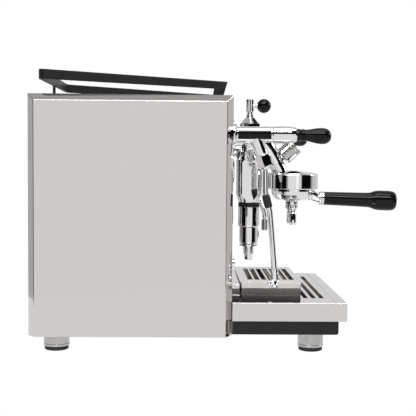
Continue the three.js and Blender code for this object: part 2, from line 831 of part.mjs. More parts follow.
// A rubber sleeve round the pipe's knee: a fatter tube on the same curve, bored for the pipe.
function wandGrip() {
  const from = 0.215; // where the sleeve starts and ends, as parts of the pipe's length
  const to = 0.415;
  const curve = new THREE.CatmullRomCurve3(steamPath.map((p) => new THREE.Vector3(...p)));
  const along = (a, b) => series(6, a, (b - a) / 5).map((u) => curve.getPointAt(u).toArray());
  const sleeve = tube(along(from, to), 6.4, 8);
  return cut(sleeve, tube(along(from - 0.04, to + 0.04), WAND_RADIUS + 0.5, 10));
}

function steamTip() {
  const end = new THREE.Vector3(...steamPath.at(-1));
  const before = new THREE.Vector3(...steamPath.at(-2));
  const direction = end.clone().sub(before).normalize();
  const collar = turned([[0, GAP], [5, GAP], [5.9, 1.5], [5.9, 17], [5, 20], [0, 20]], 20);
  const nozzle = turned([[0, -6], [6.5, -5], [9.6, -1], [9.6, 1.6], [7.8, 4.2], [0, 5.2]], 20);
  const nozzleAim = new THREE.Vector3(0, 0.55, -1);
  const nozzleAt = end.clone().addScaledVector(direction, 22.6).add(new THREE.Vector3(0, 3.4, 0));
  return join(aimed(collar, end, direction), aimed(nozzle, nozzleAt, nozzleAim));
}

function waterTip() {
  const end = waterPath.at(-1);
  const nozzle = turned([[0, 161], [4.6, 161], [5.6, 162.4], [5.6, 182], [4.8, 184], [0, 184]], 14);
  return nozzle.translate(0, end[1], 0);
}

for (const [name, x] of [
  ["steam", -TAP.x],
  ["water", TAP.x],
]) {
  const tap = new THREE.Group();
  tap.position.x = x;
  machine.add(tap);
  part(tap, `${name}_valve_body`, valveBody(), chrome);
  part(tap, `${name}_knob`, tapKnob(), blackGloss);
  const ball = new THREE.SphereGeometry(WAND_BALL.radius, 14, 8);
  part(tap, `${name}_ball`, ball, chrome, ballCentre.toArray());
  const path = name === "steam" ? steamPath : waterPath;
  part(tap, `${name}_wand`, tube(path, WAND_RADIUS, 20), chrome);
  part(tap, `${name}_tip`, name === "steam" ? steamTip() : waterTip(), satinSteel);
  if (name === "steam") part(tap, "steam_wand_grip", wandGrip(), rubber);
}

// ---------------------------------------------------------------- controls

for (const [name, x] of [
  ["steam", -GAUGE.x],
  ["pump", GAUGE.x],
]) {
  const gauge = new THREE.Group();
  gauge.position.set(x, BODY.front, GAUGE.z);
  gauge.rotation.x = Math.PI / 2;
  machine.add(gauge);
  const bezel = gaugeCase(GAUGE.bezel, 4.4, 3.5, 2.9, GAP);
  const can = rod("z", GAUGE.dial, -GAUGE.depth, 1);
  part(gauge, `${name}_gauge_case`, join(bezel, can), chrome);
  part(gauge, `${name}_gauge_needle`, needle(17, 2.1), needleRed);
}

function displayUnit() {
  const { x, z, halfWidth, halfHeight } = DISPLAY;
  const face = block(
    [x - halfWidth, x + halfWidth],
    [BODY.front - 2.8, BODY.front - GAP],
    [z - halfHeight, z + halfHeight],
  );
  const window = block([x - 20, x + 8], [BODY.front - 4, BODY.front - 2], [z - 8, z + 8]);
  const buttons = [-1, 1].map((side) =>
    rod("y", 3, BODY.front - 3.6, BODY.front - 1, [x + 17, z + side * 6], 12),
  );
  const housing = opening({ x, z, halfWidth: halfWidth - 3, halfHeight: halfHeight - 3 }, 0, [
    BODY.front - 1,
    6,
  ]);
  return join(cut(face, window), ...buttons, housing);
}

// The rocker of the mains switch, pivoting on a pin behind the panel.
function rocker() {
  const { x, z, halfWidth, halfHeight } = SWITCH;
  const front = BODY.front;
  const outline = [
    [front - 3.6, z - halfHeight + 1.5],
    [front - 2.2, z],
    [front - 4.4, z + halfHeight - 1.5],
    [front + 4, z + halfHeight - 2.5],
    [front + 8, z + 3],
    [front + 8, z - 3],
    [front + 4, z - halfHeight + 2.5],
  ];
  return sideProfile(outline, x - halfWidth, x + halfWidth);
}

part(machine, "display_unit", displayUnit(), blackGloss);
part(machine, "power_switch", rocker(), blackGloss);

const selector = join(
  turned([[0, 0.6], [SELECTOR.radius, 0.6], [SELECTOR.radius, 6.8], [6.2, 8.2], [0, 8.2]], 20),
  rod("z", SELECTOR.shaft, -10, 1, [0, 0], 12),
);
const selectorAt = new THREE.Vector3(SELECTOR.x, BODY.front, SELECTOR.z);
part(machine, "selector_knob", aimed(selector, selectorAt, forwardUp(0)), chrome);

// The mains inlet: a flanged block in the rear panel with a recess for the lead's connector.
function powerInlet() {
  const { x, z, halfWidth, halfHeight } = INLET;
  const flange = block(
    [x - halfWidth, x + halfWidth],
    [REAR_FACE + GAP, REAR_FACE + 2.2],
    [z - halfHeight, z + halfHeight],
  );
  const body = opening({ x, z, halfWidth: halfWidth - 3, halfHeight: halfHeight - 3 }, 0, [
    REAR_FACE - 22,
    REAR_FACE + 1,
  ]);
  const socket = block([x - 13, x + 13], [REAR_FACE - 16, REAR_FACE + 3], [z - 8.5, z + 8.5]);
  return cut(join(flange, body), socket);
}

part(machine, "power_inlet", powerInlet(), rubber);

// ---------------------------------------------------------------- insides

function waterTank() {
  const { halfWidth, front, back, bottom, top, wall } = TANK;
  const box = block([-halfWidth, halfWidth], [front, back], [bottom, top]);
  const inside = block(
    [wall - halfWidth, halfWidth - wall],
    [front + wall, back - wall],
    [bottom + wall, top + 1],
  );
  return cut(box, inside);
}

function tankLid() {
  const under = TOP_FACE + GAP;
  const half = TANK.halfWidth + 5;
  const plate = block([-half, half], [TANK.front - 6, TANK.back + 6], [under, under + 2]);
  const middle = (TANK.front + TANK.back) / 2;
  const knob = turned([[0, 1], [4, 1], [4, 6], [8, 8], [8, 11], [6.5, 12], [0, 12]], 20);
  return join(plate, knob.translate(0, middle, under));
}

part(machine, "water_tank", waterTank(), tankPlastic);
part(machine, "tank_lid", tankLid(), brushedSteel);

// A horizontal boiler with domed ends along Y, about the given point.
function boiler(x, z, radius, from, to) {
  const dome = radius * 0.25;
  const length = to - from;
  const profile = [
    [0, 0],
    [radius * 0.6, dome * 0.3],
    [radius, dome],
    [radius, length - dome],
    [radius * 0.6, length - dome * 0.3],
    [0, length],
  ];
  return aimed(turned(profile), new THREE.Vector3(x, to, z), forwardUp(0));
}

const WELL_FLOOR = BASE.bodyBottom + BASE.wall + GAP;
const steamLegs = [30, 140].map((y) => block([-112, -52], [y, y + 3], [WELL_FLOOR, 270]));
part(machine, "steam_boiler", join(boiler(-82, 300, 54, 12, 160), ...steamLegs), brass);

const brewLeg = join(
  block([132, 135], [30, 110], [WELL_FLOOR, 303]),
  block([100, 134], [30, 110], [297, 303]),
);
part(machine, "brew_boiler", join(boiler(80, 300, 44, 12, 130), brewLeg), copper);

const pumpUnit = join(
  rod("y", 45, 66, 205, [82, 84]),
  rod("y", 22, 20, 67, [82, 84]),
  block([52, 112], [80, 190], [WELL_FLOOR, 60]),
  block([70, 94], [28, 56], [84, 118]),
);
part(machine, "pump_unit", pumpUnit, greyPlastic);
part(machine, "control_box", block([-45, 28], [50, 165], [WELL_FLOOR, 96]), greyPlastic);

export default machine;
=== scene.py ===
"""Looks for a dual-boiler espresso machine with a lever group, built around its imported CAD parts.

Shapes are made in millimetres and scaled to metres when they become objects. Places come from
the CAD nodes' boxes wherever a box can give them.
"""

import json
import math

import bmesh
import bpy
from mathutils import Matrix, Vector


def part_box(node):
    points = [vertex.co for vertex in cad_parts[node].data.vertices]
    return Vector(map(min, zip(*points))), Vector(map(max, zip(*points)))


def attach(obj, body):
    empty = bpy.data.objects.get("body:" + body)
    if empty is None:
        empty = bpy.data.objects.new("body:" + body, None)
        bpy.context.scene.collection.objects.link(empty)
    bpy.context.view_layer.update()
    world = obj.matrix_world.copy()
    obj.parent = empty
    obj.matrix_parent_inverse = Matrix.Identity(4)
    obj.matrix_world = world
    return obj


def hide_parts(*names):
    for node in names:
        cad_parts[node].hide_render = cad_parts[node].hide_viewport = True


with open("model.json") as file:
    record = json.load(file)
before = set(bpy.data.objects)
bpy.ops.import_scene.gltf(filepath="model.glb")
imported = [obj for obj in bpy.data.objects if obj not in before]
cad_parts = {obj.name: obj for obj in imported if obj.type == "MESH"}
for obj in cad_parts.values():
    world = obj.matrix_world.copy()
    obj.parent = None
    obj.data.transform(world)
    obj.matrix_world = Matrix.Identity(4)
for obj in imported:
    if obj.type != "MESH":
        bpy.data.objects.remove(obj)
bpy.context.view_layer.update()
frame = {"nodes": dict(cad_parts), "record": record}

MM = 0.001
UP = Vector((0, 0, 1))
HOME = {
    node: body
    for body, nodes in frame["record"]["behaviour"]["bodies"].items()
    for node in nodes
}

# ---------------- camera, light and floor

CAMERA = {"place": (-1.455, 0.0545, 0.297), "yaw": 1.25, "pitch": 3.44, "roll": 0.5, "lens": 75.03}


def set_all(thing, **values):
    for name, value in values.items():
        setattr(thing, name, value)


def add_object(name, data):
    made = bpy.data.objects.new(name, data)
    bpy.context.scene.collection.objects.link(made)
    return made


def mesh_of(name, bm):
    """A mesh with a shape's faces; the shape is freed."""
    mesh = bpy.data.meshes.new(name)
    bm.to_mesh(mesh)
    bm.free()
    return mesh


def add_camera():
    """A camera on the machine's left, almost square on, with the machine's front at the right."""
    yaw, pitch = math.radians(CAMERA["yaw"]), math.radians(CAMERA["pitch"])
    ahead = Vector((math.cos(yaw) * math.cos(pitch), -math.sin(yaw) * math.cos(pitch), -math.sin(pitch)))
    right = ahead.cross(UP).normalized()
    above = right.cross(ahead)
    turn = Matrix((right, above, -ahead)).transposed().to_4x4()
    roll = Matrix.Rotation(math.radians(CAMERA["roll"]), 4, "Z")
    camera = add_object("camera", bpy.data.cameras.new("camera"))
    camera.data.lens = CAMERA["lens"]
    camera.data.clip_end = 20
    camera.matrix_world = Matrix.Translation(CAMERA["place"]) @ turn @ roll
    bpy.context.scene.camera = camera


def add_node(tree, kind, inputs, **settings):
    """A shader node; each input is another node's output, a number, a vector or a colour."""
    node = tree.nodes.new(f"ShaderNode{kind}")
    set_all(node, **settings)
    for key, value in inputs.items():
        socket = node.inputs[key]
        if isinstance(value, bpy.types.NodeSocket):
            tree.links.new(value, socket)
        else:
            socket.default_value = (*value, 1) if socket.type == "RGBA" else value
    return node


def math_node(tree, operation, *values):
    """A Math node on outputs of other nodes and plain numbers."""
    return add_node(tree, "Math", dict(enumerate(values)), operation=operation).outputs[0]


def mix_colour(tree, factor, a, b):
    """A colour Mix node; a and b are outputs or colours."""
    return add_node(tree, "Mix", {0: factor, 6: a, 7: b}, data_type="RGBA").outputs[2]


def step_node(tree, value, low, high):
    """0 below low and 1 above high, with a smooth change between."""
    inputs = {"Value": value, "From Min": low, "From Max": high}
    return add_node(tree, "MapRange", inputs, interpolation_type="SMOOTHSTEP").outputs["Result"]


def band_node(tree, value, low, high, soft):
    """1 between low and high, 0 outside, with soft ends."""
    rise = step_node(tree, value, low - soft, low + soft)
    fall = step_node(tree, value, high - soft, high + soft)
    return math_node(tree, "SUBTRACT", rise, fall)


def white_to_camera(tree, colour):
    """White where the camera sees it, and the colour to everything else."""
    seen = add_node(tree, "LightPath", {}).outputs["Is Camera Ray"]
    return mix_colour(tree, seen, colour, (1, 1, 1))


def grey(level):
    return (level,) * 3


# The studio at eye level, as grey against degrees from the machine's left (-X) side, towards its
# front: a wide light panel with a brighter strip, black flags on both sides, light walls beyond.
STUDIO_ROUND = [
    (-180, 0.4), (-118, 0.48), (-104, 0.46), (-99, 0.08), (-76, 0.06), (-70, 0.003), (-31, 0.003),
    (-28, 0.5), (-20, 0.8), (11, 0.8), (15, 1.05), (21, 1.05), (25, 0.72), (34, 0.7), (38, 0.003),
    (81, 0.003), (98, 0.55), (180, 0.74),
]
# Heights and widths in degrees: the light table below, a black flag over the light panel, the
# soft ceiling above that, and a narrow lamp.
TABLE = {"grey": 0.8, "start": -11, "end": -8.5}
FLAG = {"grey": 0.003, "low": 8, "soft": 2, "side": 84, "side_soft": 4}
CEILING = {"grey": 0.41, "start": 50, "end": 58}
LAMP = {"grey": 20.0, "low": 41, "high": 46, "soft": 1, "first": -55, "last": 30, "side_soft": 3}
ZENITH = 90
FLOOR_GREY = 0.81
FLOOR_RADIUS = 0.75


def add_world():
    world = bpy.data.worlds.new("studio")
    world.use_nodes = True
    bpy.context.scene.world = world
    tree = world.node_tree
    direction = add_node(tree, "TexCoord", {}).outputs["Generated"]
    x, y, z = add_node(tree, "SeparateXYZ", {0: direction}).outputs
    to_left = math_node(tree, "MULTIPLY", x, -1)
    to_front = math_node(tree, "MULTIPLY", y, -1)
    turn = math_node(tree, "DEGREES", math_node(tree, "ARCTAN2", to_front, to_left))
    rise = math_node(tree, "DEGREES", math_node(tree, "ARCSINE", z))

    ramp = add_node(tree, "ValToRGB", {"Fac": math_node(tree, "MULTIPLY_ADD", turn, 1 / 360, 0.5)})
    stops = ramp.color_ramp.elements
    for _ in STUDIO_ROUND[2:]:
        stops.new(0.5)
    for stop, (angle, level) in zip(stops, STUDIO_ROUND):
        stop.position = angle / 360 + 0.5
        stop.color = (*grey(level), 1)

    table = step_node(tree, rise, TABLE["start"], TABLE["end"])
    colour = mix_colour(tree, table, grey(TABLE["grey"]), ramp.outputs["Color"])
    near_side = band_node(tree, turn, -FLAG["side"], FLAG["side"], FLAG["side_soft"])
    above = band_node(tree, rise, FLAG["low"], ZENITH, FLAG["soft"])
    flag = math_node(tree, "MULTIPLY", near_side, above)
    colour = mix_colour(tree, flag, colour, grey(FLAG["grey"]))
    ceiling = step_node(tree, rise, CEILING["start"], CEILING["end"])
    colour = mix_colour(tree, ceiling, colour, grey(CEILING["grey"]))
    high = band_node(tree, rise, LAMP["low"], LAMP["high"], LAMP["soft"])
    wide = band_node(tree, turn, LAMP["first"], LAMP["last"], LAMP["side_soft"])
    colour = mix_colour(tree, math_node(tree, "MULTIPLY", high, wide), colour, grey(LAMP["grey"]))
    tree.links.new(white_to_camera(tree, colour), tree.nodes["Background"].inputs["Color"])


def add_floor():
    """A white light table: it shows no shadow and lights the machine softly from below."""
    bm = bmesh.new()
    bmesh.ops.create_circle(bm, cap_ends=True, segments=96, radius=FLOOR_RADIUS)
    floor = add_object("floor", mesh_of("floor", bm))
    floor.location.z = -0.5 * MM
    material = bpy.data.materials.new("light_table")
    material.use_nodes = True
    tree = material.node_tree
    tree.nodes.clear()
    glow = add_node(tree, "Emission", {"Color": white_to_camera(tree, grey(FLOOR_GREY))})
    add_node(tree, "OutputMaterial", {"Surface": glow.outputs[0]})
    floor.data.materials.append(material)


def add_lamp(name, place, target, size, power):
    light = bpy.data.lights.new(name, "AREA")
    set_all(light, shape="RECTANGLE", size=size[0], size_y=size[1], energy=power)
    lamp = add_object(name, light)
    lamp.location = place
    lamp.rotation_euler = (Vector(target) - Vector(place)).to_track_quat("-Z", "Y").to_euler()


add_camera()
add_world()
add_floor()
add_lamp("soft_box_above", (-0.4, -0.2, 1.9), (0, 0, 0.2), (1.2, 0.9), 9)
add_lamp("soft_box_front", (0.3, -2.0, 1.0), (0, 0, 0.2), (0.8, 0.5), 8)
bpy.context.scene.view_settings.view_transform = "Standard"

# ---------------- materials


EVEN = (1, 1, 1)
BOILER = dict(
    roughness=0.32, metallic=1, drift=(0.4, 0.7), uneven=(0.12, 40, EVEN, 5),
    relief=(0.02, 600),
)
PAINT = dict(roughness=0.38, uneven=(0.06, 200), relief=(0.004, 1500))
# `uneven` is how far the roughness strays, `tint` the other colour and `relief` a depth in mm,
# each followed by the values of the noise that it goes with.
LOOKS = {
    "mirror_steel": dict(
        colour=(0.757, 0.73, 0.722), roughness=0.035, metallic=1,
        uneven=(0.015, 9, EVEN, 6), relief=(0.0003, 900, (1, 1, 0.05)),
    ),
    "brushed_steel": dict(
        colour=(0.7, 0.69, 0.68), roughness=0.3, metallic=1,
        uneven=(0.08, 1400, (0.02, 1, 1), 5), tint=((0.64, 0.635, 0.63), 25),
        relief=(0.006, 1400, (0.02, 1, 1), 5),
    ),
    "chrome": dict(
        colour=(0.88, 0.88, 0.89), roughness=0.035, metallic=1,
        uneven=(0.02, 60, EVEN, 5), relief=(0.0012, 220),
    ),
    "satin_steel": dict(
        colour=(0.58, 0.57, 0.555), roughness=0.24, metallic=1,
        uneven=(0.05, 900, (0.03, 0.03, 1), 4), tint=((0.53, 0.525, 0.515), 120),
        relief=(0.0012, 900, (0.03, 0.03, 1), 4),
    ),
    "black_metal": dict(
        colour=(0.008, 0.0078, 0.008), roughness=0.42, uneven=(0.05, 40),
        tint=((0.0115, 0.0112, 0.0115), 1900, EVEN, 2), relief=(0.02, 1900, EVEN, 2),
        sockets={"Specular IOR Level": 0.4},
    ),
    "black_gloss": dict(
        colour=(0.005, 0.005, 0.0055), roughness=0.08, uneven=(0.03, 150, EVEN, 5),
        tint=((0.007, 0.007, 0.0075), 700), relief=(0.0015, 60),
        sockets={"Specular IOR Level": 0.22},
    ),
    "rubber": dict(
        colour=grey(0.013), roughness=0.62, uneven=(0.1, 70),
        tint=(grey(0.022), 2200), relief=(0.03, 2200),
    ),
    "brass": dict(BOILER, colour=(0.66, 0.49, 0.24), tint=((0.42, 0.29, 0.15), 14, EVEN, 7)),
    "copper": dict(BOILER, colour=(0.7, 0.39, 0.25), tint=((0.4, 0.21, 0.14), 14, EVEN, 7)),
    "tank_plastic": dict(
        colour=(0.93, 0.96, 0.97), roughness=0.16, uneven=(0.06, 30, EVEN, 4),
        relief=(0.01, 300), sockets={"IOR": 1.45, "Transmission Weight": 0.85},
    ),
    "grey_plastic": dict(
        colour=(0.12, 0.125, 0.13), roughness=0.5, uneven=(0.08, 60),
        tint=((0.145, 0.15, 0.155), 500), relief=(0.03, 1500),
    ),
    "needle_red": dict(PAINT, colour=(0.5, 0.02, 0.015), tint=((0.42, 0.015, 0.012), 400)),
    "dial_white": dict(PAINT, colour=(0.8, 0.79, 0.76), tint=((0.76, 0.75, 0.72), 400)),
    "dial_ink": dict(PAINT, colour=(0.015, 0.015, 0.016), tint=((0.025, 0.025, 0.026), 400)),
    "clear_glass": dict(
        colour=grey(1), roughness=0.02, uneven=(0.012, 120, EVEN, 4),
        sockets={"IOR": 1.2, "Transmission Weight": 1.0},
    ),
}


def noise(tree, scale, stretch=EVEN, detail=3):
    """Noise with about `scale` cells to the metre of the object, stretched along its axes."""
    place = add_node(tree, "TexCoord", {}).outputs["Object"]
    mapping = add_node(tree, "Mapping", {"Vector": place, "Scale": stretch})
    inputs = {"Vector": mapping.outputs[0], "Scale": scale, "Detail": detail}
    return add_node(tree, "TexNoise", inputs).outputs["Fac"]


def material(name, colour, roughness, uneven, metallic=0, tint=None, drift=(0.35, 0.65), relief=None,
             sockets=None):
    """A Principled material; `drift` is the noise at which the tint starts and is complete."""
    made = bpy.data.materials.new(name)
    made.use_nodes = True
    tree = made.node_tree
    bsdf = tree.nodes["Principled BSDF"]
    plain = {"Base Color": (*colour, 1), "Roughness": roughness, "Metallic": metallic}
    for socket, value in {**plain, **(sockets or {})}.items():
        bsdf.inputs[socket].default_value = value
    spread, *grain = uneven
    strayed = add_node(tree, "MapRange", {
        "Value": noise(tree, *grain), "From Min": 0.3, "From Max": 0.7,
        "To Min": max(0.0, roughness - spread), "To Max": roughness + spread,
    })
    tree.links.new(strayed.outputs["Result"], bsdf.inputs["Roughness"])
    if tint:
        other, *grain = tint
        factor = step_node(tree, noise(tree, *grain), *drift)
        tree.links.new(mix_colour(tree, factor, colour, other), bsdf.inputs["Base Color"])
    if relief:
        depth, *grain = relief
        bump = add_node(tree, "Bump", {"Height": noise(tree, *grain), "Distance": depth * MM, "Strength": 1})
        tree.links.new(bump.outputs["Normal"], bsdf.inputs["Normal"])
    return made


FINISH = {name: material(name, **look) for name, look in LOOKS.items()}

# ---------------- shapes


def size_of(node):
    """A CAD node's lowest and highest corners, in millimetres."""
    low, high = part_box(node)
    return low / MM, high / MM


def middle_of(node):
    low, high = size_of(node)
    return (low + high) / 2


def radius_of(node):
    """Half a CAD node's width."""
    low, high = size_of(node)
    return (high.x - low.x) / 2


def polar(radius, angle):
    return radius * math.cos(angle), radius * math.sin(angle)


def circle(sides):
    """Evenly spaced angles all round."""
    return [2 * math.pi * i / sides for i in range(sides)]


def rounded(points, radius, steps=4):
    """An open outline whose corners are rounded; short sides get smaller corners."""
    result = [Vector(points[0])]
    for before, corner, after in zip(points, points[1:], points[2:]):
        corner = Vector(corner)
        back, ahead = Vector(before) - corner, Vector(after) - corner
        turn = back.angle(ahead)
        if turn > math.pi - 0.05:
            result.append(corner)
            continue
        reach = min(radius / math.tan(turn / 2), back.length * 0.48, ahead.length * 0.48)
        start = corner + back.normalized() * reach
        end = corner + ahead.normalized() * reach
        for i in range(steps + 1):
            t = i / steps
            result.append(start * (1 - t) ** 2 + corner * 2 * t * (1 - t) + end * t * t)
    result.append(Vector(points[-1]))
    return result


def join_rings(bm, rings, closed):
    """Faces between neighbouring rings of vertices; a ring may be one single vertex."""
    for one, two in zip(rings, rings[1:]):
        count = max(len(one), len(two))
        for i in range(count if closed else count - 1):
            j = (i + 1) % count
            corners = [one[i % len(one)], one[j % len(one)], two[j % len(two)], two[i % len(two)]]
            unique = list(dict.fromkeys(corners))
            if len(unique) > 2:
                bm.faces.new(unique)


def lathe(profile, sides=96, corner=0.5, steps=4):
    """A surface of revolution about +Z from [radius, z] points, closed where they reach the axis."""
    bm = bmesh.new()
    rings = []
    for radius, z in rounded(profile, corner, steps):
        if radius < 1e-6:
            rings.append([bm.verts.new((0, 0, z))])
            continue
        rings.append([bm.verts.new((*polar(radius, a), z)) for a in circle(sides)])
    join_rings(bm, rings, True)
    return bm


def smooth_path(points, per_span=10):
    """A Catmull-Rom curve through the points."""
    points = [Vector(p) for p in points]
    ends = [points[0] * 2 - points[1], *points, points[-1] * 2 - points[-2]]
    path = []
    for a, b, c, d in zip(ends, ends[1:], ends[2:], ends[3:]):
        for i in range(per_span):
            t = i / per_span
            path.append(0.5 * (2 * b + (c - a) * t + (2 * a - 5 * b + 4 * c - d) * t * t
                               + (3 * b - a - 3 * c + d) * t ** 3))
    return [*path, points[-1]]


def sweep(points, radius, sides=32, per_span=10):
    """A round bar along a smooth curve; the radius is a number or a function of 0 to 1."""
    path = smooth_path(points, per_span)
    lengths = [0.0]
    for a, b in zip(path, path[1:]):
        lengths.append(lengths[-1] + (b - a).length)
    thick = radius if callable(radius) else lambda t: radius
    bm = bmesh.new()
    across = (path[1] - path[0]).orthogonal().normalized()
    rings = []
    for i, point in enumerate(path):
        ahead = (path[min(i + 1, len(path) - 1)] - path[max(i - 1, 0)]).normalized()
        across = (across - ahead * across.dot(ahead)).normalized()
        other = ahead.cross(across)
        r = thick(lengths[i] / lengths[-1])
        spokes = [across * math.cos(a) + other * math.sin(a) for a in circle(sides)]
        rings.append([bm.verts.new(point + spoke * r) for spoke in spokes])
    join_rings(bm, rings, True)
    bm.faces.new(rings[0])
    bm.faces.new(rings[-1])
    return bm


def prism(outline, low, high, bm=None, place=Matrix()):
    """An outline in XY, extruded in Z; it is added to `bm` if that is given."""
    bm = bmesh.new() if bm is None else bm
    rings = [[bm.verts.new(place @ Vector((x, y, z))) for x, y in outline] for z in (low, high)]
    join_rings(bm, rings, True)
    bm.faces.new(rings[0])
    bm.faces.new(rings[1])
    return bm


def block(low, high, bm=None, place=Matrix()):
    (x0, y0, z0), (x1, y1, z1) = low, high
    return prism([(x0, y0), (x1, y0), (x1, y1), (x0, y1)], z0, z1, bm, place)


def arc_points(radius, start, end, step=6):
    """Points on a circle about the origin, between two whole degrees."""
    return [polar(radius, math.radians(d)) for d in range(start, end, step)]


def polygon(sides, radius):
    return [polar(radius, a) for a in circle(sides)]


def round_rectangle(x0, x1, y0, y1, radius, steps=6):
    """The outline of a rectangle with round corners."""
    outline = []
    corners = [(x1, y1, 0), (x0, y1, 1), (x0, y0, 2), (x1, y0, 3)]
    for x, y, quarter in corners:
        centre_x = x - math.copysign(radius, x - (x0 + x1) / 2)
        centre_y = y - math.copysign(radius, y - (y0 + y1) / 2)
        for i in range(steps + 1):
            across, along_y = polar(radius, (quarter + i / steps) * math.pi / 2)
            outline.append((centre_x + across, centre_y + along_y))
    return outline


def inset_rectangle(low, high, radius, inset=0.0):
    """The outline of a box seen from above, a little smaller all round."""
    return round_rectangle(low.x + inset, high.x - inset, low.y + inset, high.y - inset, radius)


def from_curve(curve):
    """The surface of a curve, which is deleted."""
    holder = bpy.data.objects.new(curve.name, curve)
    mesh = bpy.data.meshes.new_from_object(holder)
    bm = bmesh.new()
    bm.from_mesh(mesh)
    bpy.data.objects.remove(holder)
    bpy.data.curves.remove(curve)
    bpy.data.meshes.remove(mesh)
    return bm


def plate(outline, holes, low, high):
    """A flat sheet in XY with holes, between two heights."""
    curve = bpy.data.curves.new("outline", "CURVE")
    set_all(curve, dimensions="2D", fill_mode="BOTH", extrude=(high - low) / 2)
    for points in [outline, *holes]:
        spline = curve.splines.new("POLY")
        spline.points.add(len(points) - 1)
        for point, (x, y) in zip(spline.points, points):
            point.co = (x, y, 0, 1)
        spline.use_cyclic_u = True
    bm = from_curve(curve)
    bmesh.ops.remove_doubles(bm, verts=bm.verts, dist=1e-4)
    bmesh.ops.translate(bm, verts=bm.verts, vec=(0, 0, (low + high) / 2))
    return bm


def from_node(node):
    """A copy of a CAD node's mesh in millimetres, with its flat faces whole again."""
    bm = bmesh.new()
    bm.from_mesh(frame["nodes"][node].data)
    bmesh.ops.scale(bm, verts=bm.verts, vec=(1 / MM,) * 3)
    bmesh.ops.remove_doubles(bm, verts=bm.verts, dist=0.005)
    bmesh.ops.dissolve_limit(bm, angle_limit=math.radians(1), verts=bm.verts, edges=bm.edges)
    return bm


def modify(obj, kind, **settings):
    set_all(obj.modifiers.new(kind.lower(), kind), **settings)


def carved(bm, cutter):
    """A shape with another one cut out of it."""
    objects = []
    for name, shape in (("whole", bm), ("cutter", cutter)):
        bmesh.ops.recalc_face_normals(shape, faces=shape.faces)
        objects.append(add_object(name, mesh_of(name, shape)))
    whole, tool = objects
    modify(whole, "BOOLEAN", operation="DIFFERENCE", object=tool, solver="EXACT")
    result = bmesh.new()
    result.from_object(whole, bpy.context.evaluated_depsgraph_get())
    for obj in objects:
        mesh = obj.data
        bpy.data.objects.remove(obj)
        bpy.data.meshes.remove(mesh)
    return result


def at(x, y, z):
    return Matrix.Translation((x, y, z))


def along(start, direction, turn=0.0):
    """Puts a shape built along +Z at a point, pointing in a direction."""
    aim = Vector(direction).to_track_quat("Z", "Y").to_matrix().to_4x4()
    return Matrix.Translation(start) @ aim @ Matrix.Rotation(math.radians(turn), 4, "Z")


def piece(name, bm, finish, node=None, body="machine", place=Matrix(), bevel=0.0, segments=2, smooth=32,
          sheet=0.0):
    """Makes an object of a shape in millimetres, hides the CAD node that it takes the place of, and puts it
    on the body that it rides on.
    """
    bm.transform(Matrix.Scale(MM, 4) @ place)
    bmesh.ops.recalc_face_normals(bm, faces=bm.faces)
    mesh = mesh_of(name, bm)
    obj = add_object(name, mesh)
    mesh.materials.append(FINISH[finish])
    for face in mesh.polygons:
        face.use_smooth = True
    mesh.set_sharp_from_angle(angle=math.radians(smooth))
    if sheet:
        modify(obj, "SOLIDIFY", thickness=sheet * MM, offset=-1)
    if bevel:
        modify(obj, "BEVEL", width=bevel * MM, segments=segments, limit_method="ANGLE",
               angle_limit=math.radians(smooth), harden_normals=True)
    # Big faces keep their own direction right up to their rounded edges.
    modify(obj, "WEIGHTED_NORMAL", weight=80, keep_sharp=True)
    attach(obj, HOME[node] if node else body)
    if node:
        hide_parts(node)


# ---------------- casing

FRONT_FACE = size_of("front_panel")[0].y
PANEL_SEAT = FRONT_FACE - 0.3  # where the round parts on the front panel start
FOLD = 0.8  # how far a fold in the sheet steel is rounded
BEVEL_RUN = 10
SHEET = 1.5
# Drain slots along X, one every `pitch` of Y from `first` to `past`.
DRAIN = {"first": 28, "past": 141, "pitch": 16, "half": 110, "half_width": 2.5}
# A thin strip in the lower front corner, from its lowest corner up to just under the tray.
TRIM = {"low": (158.2, FRONT_FACE - 0.55, 29.2), "outer": 163.6, "back": FRONT_FACE - 0.1, "gap": 0.4}
SIDES = (("left", -1), ("right", 1))
FORWARD = (0, -1, 0)
BACKWARD = (0, 1, 0)
STANDING = Matrix(((1, 0, 0, 0), (0, 0, -1, 0), (0, 1, 0, 0), (0, 0, 0, 1)))  # XY becomes XZ


def side_casing(side):
    """A polished pan: one flat face folded back at the top, the front and the rear."""
    node = f"side_panel_{side}"
    low, high = size_of(node)
    outer, inner = (low.x, high.x) if side == "left" else (high.x, low.x)
    rim = [(low.y, low.z), (high.y, low.z), (high.y, high.z), (low.y, high.z)]
    front, rear, top = low.y + BEVEL_RUN, high.y - BEVEL_RUN, high.z - BEVEL_RUN
    face = [(front, low.z), (rear, low.z), (rear, top), (front, top)]
    bm = bmesh.new()
    rim_ring = [bm.verts.new((inner, y, z)) for y, z in rim]
    face_ring = [bm.verts.new((outer, y, z)) for y, z in face]
    join_rings(bm, [rim_ring, face_ring], True)
    bm.faces.new(face_ring)
    folds = [edge for edge in bm.edges if set(edge.verts) & set(face_ring)]
    bmesh.ops.bevel(bm, geom=folds, offset=FOLD, segments=5, profile=0.5, affect="EDGES")
    piece(f"{side}_side_casing", bm, "mirror_steel", node, sheet=SHEET)


def cup_warmer():
    """The top sheet, with round-ended drain slots and the opening over the water tank."""
    low, high = size_of("top_plate")
    tank_low, tank_high = size_of("water_tank")
    opening = round_rectangle(tank_low.x - 3, tank_high.x + 3, tank_low.y - 4, tank_high.y + 4, 4)
    half, wide = DRAIN["half"], DRAIN["half_width"]
    drains = [round_rectangle(-half, half, y - wide, y + wide, wide - 0.05)
              for y in range(DRAIN["first"], DRAIN["past"], DRAIN["pitch"])]
    sheet = plate(inset_rectangle(low, high, 2), [opening, *drains], low.z, high.z)
    piece("cup_warmer_sheet", sheet, "brushed_steel", "top_plate", bevel=0.35)


